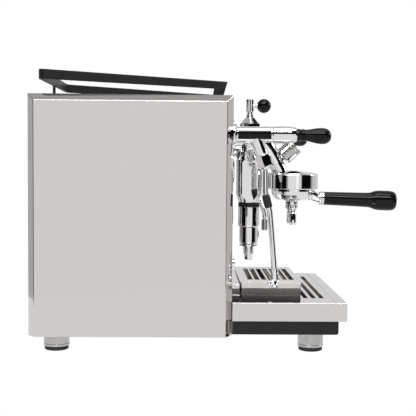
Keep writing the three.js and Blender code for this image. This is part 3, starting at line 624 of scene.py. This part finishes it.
def foot(row, side):
    """A turned foot with a groove near its lower end, on a rubber pad."""
    stem, pad = f"foot_{row}_{side}", f"foot_pad_{row}_{side}"
    low, high = size_of(stem)
    under = at(*middle_of(stem).xy, 0)
    r, groove = radius_of(stem), low.z + 3.2
    profile = [(0, low.z), (r, low.z), (r, groove), (r - 0.5, groove + 0.2), (r - 0.5, groove + 0.8),
               (r, groove + 1), (r, high.z), (0, high.z)]
    piece(f"{row}_{side}_foot_stem", lathe(profile, corner=0.4), "satin_steel", stem, place=under)
    r, top = radius_of(pad), size_of(pad)[1].z
    profile = [(0, 1), (r - 6, 1), (r - 5, 0), (r, 0), (r, top), (0, top)]
    piece(f"{row}_{side}_foot_rubber", lathe(profile, corner=2.2), "rubber", pad, place=under)


def screw(name, x, z, y, radius=3.6):
    """A button-head screw in the rear panel, with a recess."""
    r = radius
    head = [(0, 0.5), (r * 0.4, 0.5), (r * 0.45, 2), (r * 0.75, 1.7), (r, 0.4), (r, 0), (0, 0)]
    piece(name, lathe(head, 40, 0.3), "satin_steel", place=along((x, y, z), BACKWARD))


def rear_details():
    low, high = size_of("rear_panel")
    for i, z in enumerate((low.z + 14, (low.z + high.z) / 2, high.z - 12)):
        for side, x in (("left", low.x + 9), ("right", high.x - 9)):
            screw(f"rear_screw_{side}_{i}", x, z, high.y)
    inlet_low, inlet_high = size_of("power_inlet")
    centre = middle_of("power_inlet")
    for i, x in enumerate((inlet_low.x + 4.5, inlet_high.x - 4.5)):
        screw(f"inlet_screw_{i}", x, centre.z, inlet_high.y - 0.2, 2.2)
    for i, (across, rise) in enumerate(((-6.3, 2), (0, -2.5), (6.3, 2))):
        x, z = centre.x + across, centre.z + rise
        pin = block((x - 0.9, high.y - 14, z - 2), (x + 0.9, high.y - 2, z + 2))
        piece(f"inlet_pin_{i}", pin, "chrome", bevel=0.3)


def casing():
    for side in ("left", "right"):
        side_casing(side)
        for row in ("front", "rear"):
            foot(row, side)
    cup_warmer()
    piece("black_chassis", from_node("base_chassis"), "black_metal", "base_chassis", bevel=0.9, segments=3)
    trim_top = size_of("drip_tray")[0].z - TRIM["gap"]
    for side, sign in SIDES:
        trim = block(TRIM["low"], (TRIM["outer"], TRIM["back"], trim_top))
        bmesh.ops.scale(trim, verts=trim.verts, vec=(sign, 1, 1))
        piece(f"chassis_trim_{side}", trim, "satin_steel")
    piece("cup_rail_bar", from_node("cup_rail"), "black_metal", "cup_rail", bevel=0.7)
    piece("inlet_block", from_node("power_inlet"), "rubber", "power_inlet", bevel=0.5)
    rear_details()


# ---------------- drip tray

TRAY_SLOTS = {"first": -152.9, "pitch": 12.4, "count": 3, "half": 121, "width": 7}
STEP_SLOTS = {"first": -111.9, "pitch": 11.13, "count": 7, "half": 68, "width": 7.7}
GRATE_SHEET = 2
STEP_RIM = 1.8


def slot_outlines(slots):
    """Outlines of slots along X with round corners, one behind another."""
    half, width = slots["half"], slots["width"]
    ys = [slots["first"] + i * slots["pitch"] for i in range(slots["count"])]
    return [round_rectangle(-half, half, y - width / 2, y + width / 2, width * 0.32, 5) for y in ys]


def drip_tray():
    piece("drip_tray_box", from_node("drip_tray"), "mirror_steel", "drip_tray", bevel=0.45)
    top = size_of("drip_tray")[1].z
    low, high = size_of("drip_grate")
    step_low, step_high = size_of("step_grate")
    wall_x = step_high.x - 2
    wall_front, wall_back = step_low.y + 1.5, step_high.y - 0.5
    well = round_rectangle(GRATE_SHEET - wall_x, wall_x - GRATE_SHEET, wall_front + 2, wall_back - 2, 1)
    holes = [well, *slot_outlines(TRAY_SLOTS)]
    sheet = plate(inset_rectangle(low, high, 1.5), holes, top - GRATE_SHEET, top)
    piece("grate_sheet", sheet, "mirror_steel", "drip_grate", bevel=0.3)
    wall = round_rectangle(-wall_x, wall_x, wall_front, wall_back, 2.5)
    upstand = plate(wall, [well], top, step_low.z - 0.3)
    piece("grate_upstand", upstand, "mirror_steel", body="grate", bevel=0.3)
    shelf = block((step_low.x, step_high.y + 0.6, top), (step_high.x, high.y - 0.2, high.z))
    piece("grate_rear_shelf", shelf, "mirror_steel", body="grate", bevel=0.8)

    outline = inset_rectangle(step_low, step_high, 2.5)
    inner = inset_rectangle(step_low, step_high, 1.2, STEP_RIM)
    cover = plate(outline, slot_outlines(STEP_SLOTS), step_high.z - GRATE_SHEET, step_high.z)
    piece("step_sheet", cover, "mirror_steel", "step_grate", bevel=0.35)
    rim = plate(outline, [inner], step_low.z, step_high.z - GRATE_SHEET)
    piece("step_rim", rim, "mirror_steel", body="step", bevel=0.3)


# ---------------- group head

COLUMN_Y = middle_of("infusion_chamber").y
BELL_Y = middle_of("shower_screen").y
ON_COLUMN = Matrix.Translation((0, COLUMN_Y, 0))
ON_BELL = Matrix.Translation((0, BELL_Y, 0))
GROUP_Z = 325  # height of the flange's centre
LEVER_Z = size_of("brew_lever")[1].z - 5
COLUMN = {"top": 345.7, "foot": 219.5, "foot_radius": 17.4, "taper": 14, "radius": 21.8}
# What is milled off the column's right side, as [x, z] points; the left side is its mirror image.
MILLED = [(17.6, 200), (17.6, 286), (27.8, 310), (27.8, 200)]
BOLT = {"across": 24, "up": 24, "radius": 5, "length": 6}


def bell():
    """The wide end of the group, with the seat for the seal and the bayonet lip inside."""
    low, high, r = 243, 267.8, 43.5
    profile = [
        (0, 273.6), (16, 273), (r - 2.5, high + 1.6), (r, high - 1), (r, low + 0.8),
        (r - 1.2, low), (37.4, low), (36.3, low + 1), (36.3, 246.8), (40.8, 246.8), (40.8, 252.8),
        (36.7, 252.8), (36.7, 262), (0, 262),
    ]
    piece("group_bell", lathe(profile, 128, 1.6, 5), "chrome", place=ON_BELL)


def column():
    """The upright cylinder, with a flat milled on each side that ends in a slope."""
    top, foot_z, r = COLUMN["top"], COLUMN["foot"], COLUMN["radius"]
    foot_r = COLUMN["foot_radius"]
    profile = [(0, foot_z), (foot_r, foot_z), (r, foot_z + COLUMN["taper"]), (r, top), (0, top)]
    shape = lathe(profile, 160, 1.6, 6)
    for sign in (-1, 1):
        cutter = prism([(sign * x, z) for x, z in MILLED], -30, 30)
        cutter.transform(STANDING)
        shape = carved(shape, cutter)
    piece("group_column", shape, "chrome", "group_body", place=ON_COLUMN, bevel=0.35, smooth=16)


def flange_bolts():
    for side, left in SIDES:
        for up, row in ((-1, "lower"), (1, "upper")):
            spot = (left * BOLT["across"], FRONT_FACE - 6, GROUP_Z + up * BOLT["up"])
            head = prism(polygon(6, BOLT["radius"]), 0, BOLT["length"])
            piece(f"flange_bolt_{row}_{side}", head, "satin_steel", bevel=0.6, place=along(spot, FORWARD))


def group_casting():
    column()
    flange = [(0, 0), (36, 0), (36, 5), (32.5, 8.5), (21, 9), (20, 30), (0, 31)]
    piece("group_flange", lathe(flange, corner=2.2, steps=6), "chrome",
          place=along((0, PANEL_SEAT, GROUP_Z), FORWARD))
    neck = [(0, COLUMN_Y, GROUP_Z), (0, -60, GROUP_Z - 0.5), (0, -70, 317), (0, -81, 301), (0, -93, 281),
            (0, -100, 266)]
    piece("group_neck", sweep(neck, lambda t: 19 - 6.2 * min(1, t * 1.35), 64), "chrome")
    bell()
    pivot = (0, COLUMN_Y, LEVER_Z)
    boss = [(0, 0), (14, 0), (14, 35), (12, 36), (6.8, 36), (6.4, 35), (6.4, 22), (0, 22)]
    piece("lever_boss", lathe(boss, corner=0.9), "chrome", place=along(pivot, (1, 0, 0)))
    plug = prism(polygon(6, 12), 0, 32)
    piece("group_plug", plug, "chrome", bevel=1.1, segments=3, place=along(pivot, (-1, 0, 0), 30))
    flange_bolts()


def hexagon_to_round(levels, sides=72):
    """Rings of [flat radius, roundness, z]: 0 is a hexagon and 1 a circle."""
    bm = bmesh.new()
    rings = []
    for radius, roundness, z in levels:
        ring = []
        for a in circle(sides):
            stretch = 1 / math.cos(a % (math.pi / 3) - math.pi / 6)
            r = radius * (stretch * (1 - roundness) + roundness)
            ring.append(bm.verts.new((*polar(r, a), z)))
        rings.append(ring)
    join_rings(bm, rings, True)
    bm.faces.new(rings[0])
    bm.faces.new(rings[-1])
    return bm


def flow_control():
    """The cap nut, the turned stem with its knurled top, and the ball on its side arm."""
    low, high = size_of("group_cap_nut")
    nut = hexagon_to_round([
        (15.4, 0.1, low.z), (16, 0, low.z + 0.7), (16, 0, low.z + 4.6), (15.2, 0.35, low.z + 6),
        (8.6, 1, high.z - 1), (7.8, 1, high.z), (6.7, 1, high.z),
    ])
    piece("cap_nut_cone", nut, "chrome", "group_cap_nut", place=ON_COLUMN)
    low, high = size_of("flow_stem")
    r, knurl, teeth = 6.2, 371.4, 28
    stem = [(0, low.z), (r, low.z), (r, 366), (r - 1.5, 366.6), (r - 1.5, knurl), (0, knurl)]
    piece("flow_stem_turned", lathe(stem, corner=0.5), "chrome", "flow_stem", place=ON_COLUMN)
    star = [polar(r - 0.7 * (i % 2), a) for i, a in enumerate(circle(teeth))]
    piece("flow_stem_knurl", prism(star, knurl, high.z), "chrome", body="flow_control", place=ON_COLUMN,
          bevel=0.2, smooth=20)
    r, arm_z = radius_of("flow_knob"), middle_of("flow_knob").z
    arm = [(0, 4), (3.1, 4), (3.1, 9), (4.2, 9.4), (4.2, 12), (0, 12)]
    piece("flow_arm", lathe(arm, 48, 0.3), "chrome", body="flow_control",
          place=along((0, COLUMN_Y, arm_z), FORWARD))
    ball = [(0, -r), *arc_points(r, -84, 68), (4, r * 0.93), (0, r * 0.93)]
    piece("flow_ball", lathe(ball, corner=0.1), "black_gloss", "flow_knob",
          place=along((0, size_of("flow_knob")[0].y + r, arm_z), BACKWARD))


def infusion():
    """The seal ring, the chamber and the nozzle under the column."""
    low, high = size_of("group_seal_ring")
    r = radius_of("group_seal_ring")
    ring = [(0, low.z), (r, low.z), (r, high.z), (0, high.z)]
    piece("seal_ring_rubber", lathe(ring, corner=0.9), "rubber", "group_seal_ring", place=ON_COLUMN)
    low, high = size_of("infusion_chamber")
    r = radius_of("infusion_chamber")
    narrow = r - 2.4
    chamber = [(0, high.z), (r, high.z), (r, 181), (r - 0.7, 180.4), (r - 0.7, 179.6), (narrow + 0.4, 179),
               (narrow, 178), (narrow, 152.5), (narrow - 1.6, 151.4), (narrow - 1.6, 150.2),
               (narrow + 0.1, 149), (narrow + 0.1, low.z), (0, low.z)]
    piece("chamber_turned", lathe(chamber, corner=0.5), "chrome", "infusion_chamber", place=ON_COLUMN)
    low, high = size_of("discharge_nozzle")
    hollow = low.z + 14
    nozzle = [(0, high.z), (9, high.z), (8.6, 134), (7.3, 133), (6.7, low.z), (4, low.z), (4, hollow),
              (0, hollow)]
    piece("nozzle_turned", lathe(nozzle, corner=0.5), "chrome", "discharge_nozzle", place=ON_COLUMN)


def pear(length, neck, fat):
    """A pear-shaped knob built along +Z from its narrow end."""
    profile = [(0, 0.3), (neck, 0.3), (neck * 0.98, 4)]
    steps, start, widest = 26, 5, 0.62
    for i in range(steps + 1):
        t = i / steps
        swell = neck + (fat - neck) * math.sin(min(1, t / widest) * math.pi / 2) ** 1.4
        cap = 1 if t < widest else math.sqrt(max(0, 1 - ((t - widest) / (1 - widest)) ** 2.3))
        profile.append((swell * cap, start + (length - start) * t))
    profile[-1] = (0, length)
    return lathe(profile, corner=0.8)


def brew_lever():
    y, z = COLUMN_Y, LEVER_Z
    end = Vector((60, y - 8, size_of("brew_lever")[0].z + 0.3))
    path = [(20.6, y, z), (34, y, z), (46, y, z - 1.5), (54.5, y - 0.6, z - 9), (57.6, y - 2, z - 28),
            (59, y - 5, 240), end]
    piece("lever_bar", sweep(path, 5), "chrome", "brew_lever")
    collar = [(0, -2), (6.4, -2), (6.4, 3), (5.2, 4), (0, 4)]
    piece("lever_collar", lathe(collar, 64, 0.5), "chrome", body="lever", place=along(end, (0, 0.1, 1)))
    piece("lever_pear", pear(43, 6.2, 12.5), "black_gloss", "brew_lever_knob",
          place=along(end, (0.01, -0.06, -1)))


# ---------------- gauges

DIAL_SWEEP = 270  # degrees from a dial's first number to its last


def arc_strip(radius, width, start, end, z, steps=40):
    """A flat strip along part of a circle; angles are degrees clockwise from the top."""
    bm = bmesh.new()
    rings = []
    for i in range(steps + 1):
        a = math.radians(90 - start - (end - start) * i / steps)
        rings.append([bm.verts.new((*polar(r, a), z)) for r in (radius - width, radius)])
    join_rings(bm, rings, False)
    return bm


def dial_marks(radius, count, thick):
    """Long and short strokes round a dial, from lower left to lower right."""
    bm = bmesh.new()
    total = (count - 1) * 5
    for i in range(total + 1):
        angle = math.radians(DIAL_SWEEP / 2 - DIAL_SWEEP * i / total)
        length, half = (radius * 0.2, thick * 0.9) if i % 5 == 0 else (radius * 0.1, thick * 0.5)
        block((-half, radius - length, 0), (half, radius, 0.12), bm, Matrix.Rotation(angle, 4, "Z"))
    return bm


def numeral(name, text, size, place):
    """A number on a dial, as a thin raised mesh."""
    curve = bpy.data.curves.new(name, "FONT")
    set_all(curve, body=text, size=size, align_x="CENTER", align_y="CENTER", extrude=0.05)
    piece(name, from_curve(curve), "dial_ink", place=place)


def dial(name, place, radius, numbers, red_from):
    """The printed face of a pressure gauge; `place` puts +Z out of the dial."""
    disc = [(0, -0.2), (radius, -0.2), (radius, 0), (0, 0)]
    piece(f"{name}_dial", lathe(disc, corner=0.05), "dial_white", place=place)
    piece(f"{name}_marks", dial_marks(radius * 0.93, len(numbers), radius * 0.016), "dial_ink",
          place=place @ at(0, 0, 0.02))
    zone = arc_strip(radius * 0.98, radius * 0.045, red_from, DIAL_SWEEP / 2, 0.1)
    piece(f"{name}_red_zone", zone, "needle_red", place=place)
    for i, number in enumerate(numbers):
        angle = math.radians(90 + DIAL_SWEEP / 2 - DIAL_SWEEP * i / (len(numbers) - 1))
        numeral(f"{name}_number_{i}", number, radius * 0.26, place @ at(*polar(radius * 0.58, angle), 0.1))


def glass(name, place, radius, rise=0.5):
    disc = [(0, 0), (radius, 0), (radius, 0.5), (radius * 0.6, 0.5 + rise * 0.7), (0, 0.5 + rise)]
    piece(name, lathe(disc, 64, 0.2), "clear_glass", place=place)


def pointer(name, node, place, reach):
    """A gauge's needle with its hub; it turns with the needle's own body."""
    outline = [(-0.9, -reach * 0.3), (0.9, -reach * 0.3), (0.55, reach * 0.1), (0.12, reach), (-0.12, reach),
               (-0.55, reach * 0.1)]
    piece(f"{name}_pointer", prism(outline, 0, 0.4), "needle_red", node, place=place)
    hub = [(0, 0), (2, 0), (2, 1), (0, 1.3)]
    piece(f"{name}_hub", lathe(hub, 40, 0.3), "dial_ink", body=HOME[node], place=place)


def panel_gauge(name, numbers):
    """A pressure gauge in the front panel."""
    centre, r = middle_of(f"{name}_gauge_case"), radius_of(f"{name}_gauge_case")
    place = along((centre.x, PANEL_SEAT, centre.z), FORWARD)
    dial_r = r - 3.6
    bezel = [(0, 0), (r - 1, 0), (r, 1.4), (r - 0.6, 3.6), (r - 2.2, 4.4), (dial_r + 0.4, 3.9),
             (dial_r, 2.4), (dial_r, 1.4), (0, 1.4)]
    piece(f"{name}_gauge_bezel", lathe(bezel, 128, 0.6), "chrome", f"{name}_gauge_case", place=place)
    upright = place @ facing_up(place)
    dial(name, upright @ at(0, 0, 1.6), dial_r - 0.2, numbers, 60)
    pointer(name, f"{name}_gauge_needle", upright @ at(0, 0, 1.9), dial_r * 0.72)
    glass(f"{name}_gauge_glass", upright @ at(0, 0, 3.3), dial_r - 0.1)


def facing_up(place):
    """The turn about a dial's own axis that brings the top of its face upwards."""
    up = place.to_3x3().inverted() @ UP
    return Matrix.Rotation(math.atan2(-up.x, up.y), 4, "Z")


def group_gauge():
    """The gauge on the group's arm: a satin can on a hexagonal stub, facing up and forwards."""
    start, tilt, r, length = (0, -102, 296.2), math.radians(43.5), 14.8, 27.5
    place = along(start, (0, -math.cos(tilt), math.sin(tilt)))
    can = [(0, 0), (r - 1.8, 0), (r, 1.6), (r, length - 7), (r - 0.5, length - 6.6), (r - 0.5, length - 6),
           (r + 0.2, length - 5.6), (r + 0.2, length - 0.8), (r - 0.6, length), (r - 1.8, length),
           (r - 1.9, length - 2.6), (0, length - 2.6)]
    piece("group_gauge_can", lathe(can, 96, 0.5), "satin_steel", "group_gauge_case", place=place)
    stub = prism(polygon(6, 5.2), -6.4, 0.2)
    piece("group_gauge_stub", stub, "satin_steel", bevel=0.5, place=place)
    boss = [(0, -24), (6.4, -24), (6.4, -9), (5.6, -8), (0, -8)]
    piece("group_gauge_boss", lathe(boss, 64, 0.6), "chrome", place=place)
    upright = place @ facing_up(place)
    dial("group", upright @ at(0, 0, length - 2.3), r - 2.1, ["0", "5", "10", "15"], 70)
    pointer("group", "group_gauge_needle", upright @ at(0, 0, length - 2), (r - 2) * 0.72)
    glass("group_gauge_glass", upright @ at(0, 0, length - 0.8), r - 2, 0.25)


# ---------------- portafilter

HANDLE_DROP = math.radians(1.7)
HANDLE_LENGTH = 122.84


def portafilter():
    body = "portafilter"
    bowl = [(0, 221.8), (10.5, 221.8), (11.6, 223.8), (23, 224.2), (30, 227.4), (33.4, 233.5), (34.4, 239),
            (34.8, 249.7), (31, 249.7), (31, 232), (26, 227.8), (0, 227.8)]
    piece("filter_bowl", lathe(bowl, 112, 2.2), "chrome", "portafilter_body", place=ON_BELL)
    for side, x in (("left", -36), ("right", 36)):
        ear = block((x - 3.2, -9, 247.1), (x + 3.2, 9, 249.9))
        piece(f"bayonet_ear_{side}", ear, "chrome", body=body, bevel=0.7, place=ON_BELL)
    handle_way = (0, -math.cos(HANDLE_DROP), -math.sin(HANDLE_DROP))
    on_handle = along((0, size_of("portafilter_handle")[1].y, 227.4), handle_way)
    neck = sweep([(0, -147.5, 233.5), (0, -153, 232.4), (0, -159, 229.4), (0, -165.5, 227.7)],
                 lambda t: 9.6 - 1.9 * math.sin(min(1, t * 1.25) * math.pi / 2))
    piece("handle_neck", neck, "chrome", body=body)
    collar = [(0, -8.2), (8.6, -8.2), (11, -7), (11.2, -5.2), (10.4, -4.6), (10.4, -4.1), (11.8, -3.6),
              (11.8, -0.2), (0, -0.2)]
    piece("handle_collar", lathe(collar, corner=0.5), "chrome", body=body, place=on_handle)
    basket = [(0, 228.2), (26.5, 228.2), (29.6, 231.5), (29.6, 250.2), (33.8, 250.2), (33.8, 251.2),
              (28.9, 251.2), (28.7, 250.6), (28.7, 232), (26, 229.2), (0, 229.2)]
    piece("filter_basket", lathe(basket, 112, 0.4), "satin_steel", "portafilter_basket", place=ON_BELL)
    spout()
    grip = [(0, 0), (10.6, 0), (11, 1.2), (11.4, 30), (11.9, 60), (12.3, 75), (13.2, 80), (15.4, 85.5),
            (16.6, 91), (16.75, 97), (16.75, 110), (16.2, 115), (14.8, 119), (12, 121.6), (7, 122.7),
            (0, HANDLE_LENGTH)]
    piece("handle_grip", lathe(grip, 112, 3), "black_gloss", "portafilter_handle", place=on_handle)


def spout():
    """A hub under the bowl and two arms that bend down to the cups."""
    hub = [(0, 205.6), (6.5, 206.2), (10.5, 211), (10.5, 215.6), (9.9, 216.2), (9.9, 217.2), (10.5, 217.8),
           (10.5, 221.6), (0, 221.6)]
    piece("spout_hub", lathe(hub, 112, 0.8), "chrome", "portafilter_spout", place=ON_BELL)
    for side, sign in SIDES:
        path = [(sign * x, 0, z) for x, z in ((0, 214), (9, 210.5), (16.5, 203), (19.5, 193), (20, 184))]
        arm = sweep(path, lambda t: 5.8 - 0.5 * max(0, t - 0.9) * 10)
        piece(f"spout_arm_{side}", arm, "chrome", body="portafilter", place=ON_BELL)


def seal_and_screen():
    ring = [(28.6, 251.6), (36.3, 251.6), (36.3, 261.6), (28.6, 261.6), (28.6, 251.6)]
    piece("gasket_ring", lathe(ring, corner=0.8), "rubber", "group_gasket", place=ON_BELL)
    holes = [hole_at(r, k, n) for r, n in ((6, 6), (12, 12), (18, 18), (23.5, 24)) for k in range(n)]
    screen = plate(polygon(96, 27.6), holes, 252.3, 253)
    piece("screen_sheet", screen, "brushed_steel", "shower_screen", place=ON_BELL)
    edge = [(0, 253), (27.9, 253), (27.9, 255.6), (4, 255.6), (4, 261.6), (0, 261.6)]
    piece("screen_cup", lathe(edge, corner=0.4), "brushed_steel", place=ON_BELL)


def hole_at(radius, index, count, size=0.9):
    centre_x, centre_y = polar(radius, 2 * math.pi * index / count)
    return [(centre_x + x, centre_y + y) for x, y in polygon(10, size)]


# ---------------- steam and hot water taps

TAP_Z = 330
BRANCH_Y = -44.1
BRANCH_LEAN = math.radians(20)
NUT_TURN = 12
LEVER_DROP = math.radians(2.2)
INLAY = {"start": -28, "end": 36, "low": 7, "high": 57.6, "above": 0.08}


def inlay(radius, mirrored, steps=16):
    """A thin black inlay on one side of a barrel, built round +Z like the barrel."""
    bm = bmesh.new()
    rings = []
    span = INLAY["end"] - INLAY["start"]
    for z in (INLAY["low"], INLAY["high"]):
        angles = [math.radians(INLAY["start"] + span * i / steps) for i in range(steps + 1)]
        rings.append([bm.verts.new((*polar(radius, a), z)) for a in angles])
    join_rings(bm, rings, False)
    if mirrored:
        bmesh.ops.scale(bm, verts=bm.verts, vec=(-1, 1, 1))
    return bm


def tap(name):
    """A horizontal valve barrel with its outlet branch, nut, ball joint and lever knob."""
    joint = middle_of(f"{name}_ball")
    x, r = joint.x, 12.2
    place = along((x, PANEL_SEAT, TAP_Z), FORWARD)
    barrel = [(0, 0), (16.5, 0), (16.5, 2.6), (13.4, 4.4), (r, 6), (r, 58.4), (r - 0.7, 59.2), (r - 0.7, 60),
              (r + 0.3, 61), (r + 0.9, 76), (r + 0.4, 88), (r - 0.7, 94.6), (r - 1.6, 96.7), (9.9, 96.7),
              (9.2, 94), (0, 94)]
    piece(f"{name}_barrel", lathe(barrel, 112, 1.0), "chrome", f"{name}_valve_body", place=place)
    outward = Matrix.Rotation(math.pi if x < 0 else 0, 4, "Z")
    piece(f"{name}_inlay", inlay(r + INLAY["above"], x > 0), "black_gloss",
          place=place @ facing_up(place) @ outward)
    start, down = (x, BRANCH_Y, TAP_Z), (0, -math.sin(BRANCH_LEAN), -math.cos(BRANCH_LEAN))
    branch = [(0, 0), (10.4, 0), (10.4, 31), (9.6, 32), (9.6, 34), (0, 34)]
    piece(f"{name}_branch", lathe(branch, corner=0.6), "chrome", place=along(start, down))
    nut = hexagon_to_round([
        (10.4, 1, 33), (11.3, 0.15, 34.2), (11.3, 0, 35), (11.3, 0, 50), (11.3, 0.15, 51), (10.2, 1, 52),
        (8.3, 1, 52),
    ])
    piece(f"{name}_nut", nut, "chrome", place=along(start, down, NUT_TURN))
    ball_r = radius_of(f"{name}_ball")
    ball = [(0, -ball_r), *arc_points(ball_r, -84, 90), (0, ball_r)]
    piece(f"{name}_pivot_ball", lathe(ball, 64, 0.1), "chrome", f"{name}_ball", place=at(*joint))
    tap_lever(name, x)


def tap_lever(name, x):
    """The black lever knob: a ball inside the barrel's end, a ribbed neck and a pear."""
    way = Vector((0, -math.cos(LEVER_DROP), -math.sin(LEVER_DROP)))
    centre = Vector((x, -110.5, TAP_Z))
    r = 9.3
    collar = [(0, -r), *arc_points(r, -84, 28), (8.6, 5.4), (9.6, 6), (9.6, 7.6), (8, 8.2), (0, 8.2)]
    piece(f"{name}_lever_ball", lathe(collar, 96, 0.3), "black_gloss", body=f"{name}_tap_lever",
          place=along(centre, way))
    piece(f"{name}_lever_pear", pear(43, 8.8, 12.35), "black_gloss", f"{name}_knob",
          place=along(centre + way * 8, way))


def wand_path(name, *bends):
    """A wand's middle line, from under its ball; `bends` are [y, z] points."""
    start = (middle_of(f"{name}_ball").y, size_of(f"{name}_ball")[0].z - 0.3)
    return [(0, y, z) for y, z in (start, *bends)]


PIPE_RADIUS = 4.35
STEAM_Y, WATER_Y = middle_of("steam_ball").y, middle_of("water_ball").y
STEAM_PATH = wand_path("steam", (STEAM_Y - 0.3, 258), (STEAM_Y - 0.8, 240), (-65, 227), (-68.8, 212),
                       (-71.7, 184), (-74.3, 155), (-77, 125))
WATER_PATH = wand_path("water", (WATER_Y - 0.4, 262), (WATER_Y - 2, 244), (-72, 222), (-80, 203),
                       (-83.6, 192), (-84.5, 185))
SLEEVE = {"start": 0.29, "end": 0.52, "radius": 4.6, "bulge": 1.6}


def sleeve_radius(t):
    return SLEEVE["radius"] + SLEEVE["bulge"] * (4 * t * (1 - t)) ** 0.22


def wands():
    left, right = at(middle_of("steam_ball").x, 0, 0), at(middle_of("water_ball").x, 0, 0)
    piece("steam_pipe_bar", sweep(STEAM_PATH, PIPE_RADIUS), "chrome", "steam_wand", place=left)
    piece("water_pipe_bar", sweep(WATER_PATH, PIPE_RADIUS), "chrome", "water_wand", place=right)
    path = smooth_path(STEAM_PATH)
    knee = path[round(len(path) * SLEEVE["start"]):round(len(path) * SLEEVE["end"])]
    piece("steam_pipe_sleeve", sweep(knee, sleeve_radius, per_span=4), "rubber", "steam_wand_grip",
          place=left)
    end, before = Vector(STEAM_PATH[-1]), Vector(STEAM_PATH[-2])
    way = (end - before).normalized()
    collar = [(0, 0.2), (5, 0.2), (5.9, 1.6), (5.9, 6), (5.3, 6.5), (5.3, 7.2), (5.9, 7.7), (5.9, 17),
              (5, 20), (0, 20)]
    piece("steam_tip_collar", lathe(collar, 80, 0.5), "chrome", "steam_tip", place=left @ along(end, way))
    nozzle = [(0, -6), (6.3, -5.4), (8, -3), (9.6, -1), (9.6, 1.6), (7.8, 4.2), (3, 5), (0, 5.2)]
    nozzle_at = end + way * 22.6 + Vector((0, 3.4, 0))
    piece("steam_tip_nozzle", lathe(nozzle, 96, 0.9), "chrome", body="steam_pipe",
          place=left @ along(nozzle_at, (0, 0.55, -1)))
    low, high = size_of("water_tip")
    tip = [(0, low.z), (4.4, low.z), (5.6, low.z + 1.6), (5.6, high.z - 4), (5.2, high.z - 3.6),
           (5.2, high.z - 3), (5.6, high.z - 2.6), (4.8, high.z), (0, high.z)]
    piece("water_tip_turned", lathe(tip, 72, 0.5), "satin_steel", "water_tip",
          place=right @ at(0, middle_of("water_tip").y, 0))


# ---------------- controls

def selector():
    """A small knurled knob low on the front panel."""
    centre, r = middle_of("selector_knob"), radius_of("selector_knob")
    place = along((centre.x, FRONT_FACE, centre.z), FORWARD)
    profile = [(0, 0.6), (r - 0.6, 0.6), (r - 0.4, 1.2)]
    for i in range(3):
        z = 1.6 + i * 1.9
        profile += [(r, z), (r, z + 1), (r - 0.9, z + 1.2), (r - 0.9, z + 1.7)]
    profile += [(r - 1.2, 7.6), (0, 8.2)]
    piece("selector_turned", lathe(profile, 72, 0.25), "chrome", "selector_knob", place=place)


def display():
    """A black frame round a sunk window, with two buttons beside it."""
    low, high = size_of("display_unit")
    on_panel = at(0, PANEL_SEAT, 0) @ STANDING
    outline = round_rectangle(low.x, high.x, low.z, high.z, 4)
    window = round_rectangle(low.x + 6, high.x - 18, low.z + 5, high.z - 5, 1)
    piece("display_frame", plate(outline, [window], 0, 2.4), "black_gloss", "display_unit", place=on_panel,
          bevel=0.5)
    screen = round_rectangle(low.x + 6.2, high.x - 18.2, low.z + 5.2, high.z - 5.2, 1)
    piece("display_window", plate(screen, [], 0.4, 1.6), "dial_ink", place=on_panel)
    for i, rise in enumerate((-6, 6)):
        button = [(0, 0), (3, 0), (3, 3), (2.4, 3.4), (0, 3.4)]
        spot = (high.x - 9, PANEL_SEAT, (low.z + high.z) / 2 + rise)
        piece(f"display_button_{i}", lathe(button, 48, 0.4), "chrome", place=along(spot, FORWARD))


def controls():
    selector()
    display()
    piece("rocker_switch", from_node("power_switch"), "black_gloss", "power_switch", bevel=0.6)
    panel_gauge("steam", ["0", "1", "2", "3"])
    panel_gauge("pump", ["0", "4", "8", "12", "16"])
    group_gauge()


# ---------------- insides

def insides():
    """The water tank and its lid; the boilers and the pump keep their CAD shapes."""
    piece("tank_shell", from_node("water_tank"), "tank_plastic", "water_tank", bevel=0.9, segments=3)
    low, high = size_of("tank_lid")
    sheet = plate(inset_rectangle(low, high, 3), [], low.z, low.z + 2)
    piece("lid_sheet", sheet, "brushed_steel", "tank_lid", bevel=0.5)
    top = high.z - low.z
    knob = [(0, 1.8), (4, 1.8), (4, 6), (8, 8), (8, top - 1), (6.5, top), (0, top)]
    piece("lid_knob", lathe(knob, 64, 0.7), "black_gloss", body="lid",
          place=at(0, (low.y + high.y) / 2, low.z))


def finish_cad_nodes():
    """Every CAD node that still shows gets the finish of its own slot."""
    for obj in frame["nodes"].values():
        for slot in obj.material_slots:
            name = slot.material.name.split(".")[0] if slot.material else ""
            if name in FINISH:
                slot.material = FINISH[name]


casing()
drip_tray()
group_casting()
flow_control()
infusion()
brew_lever()
portafilter()
seal_and_screen()
tap("steam")
tap("water")
wands()
controls()
insides()
finish_cad_nodes()
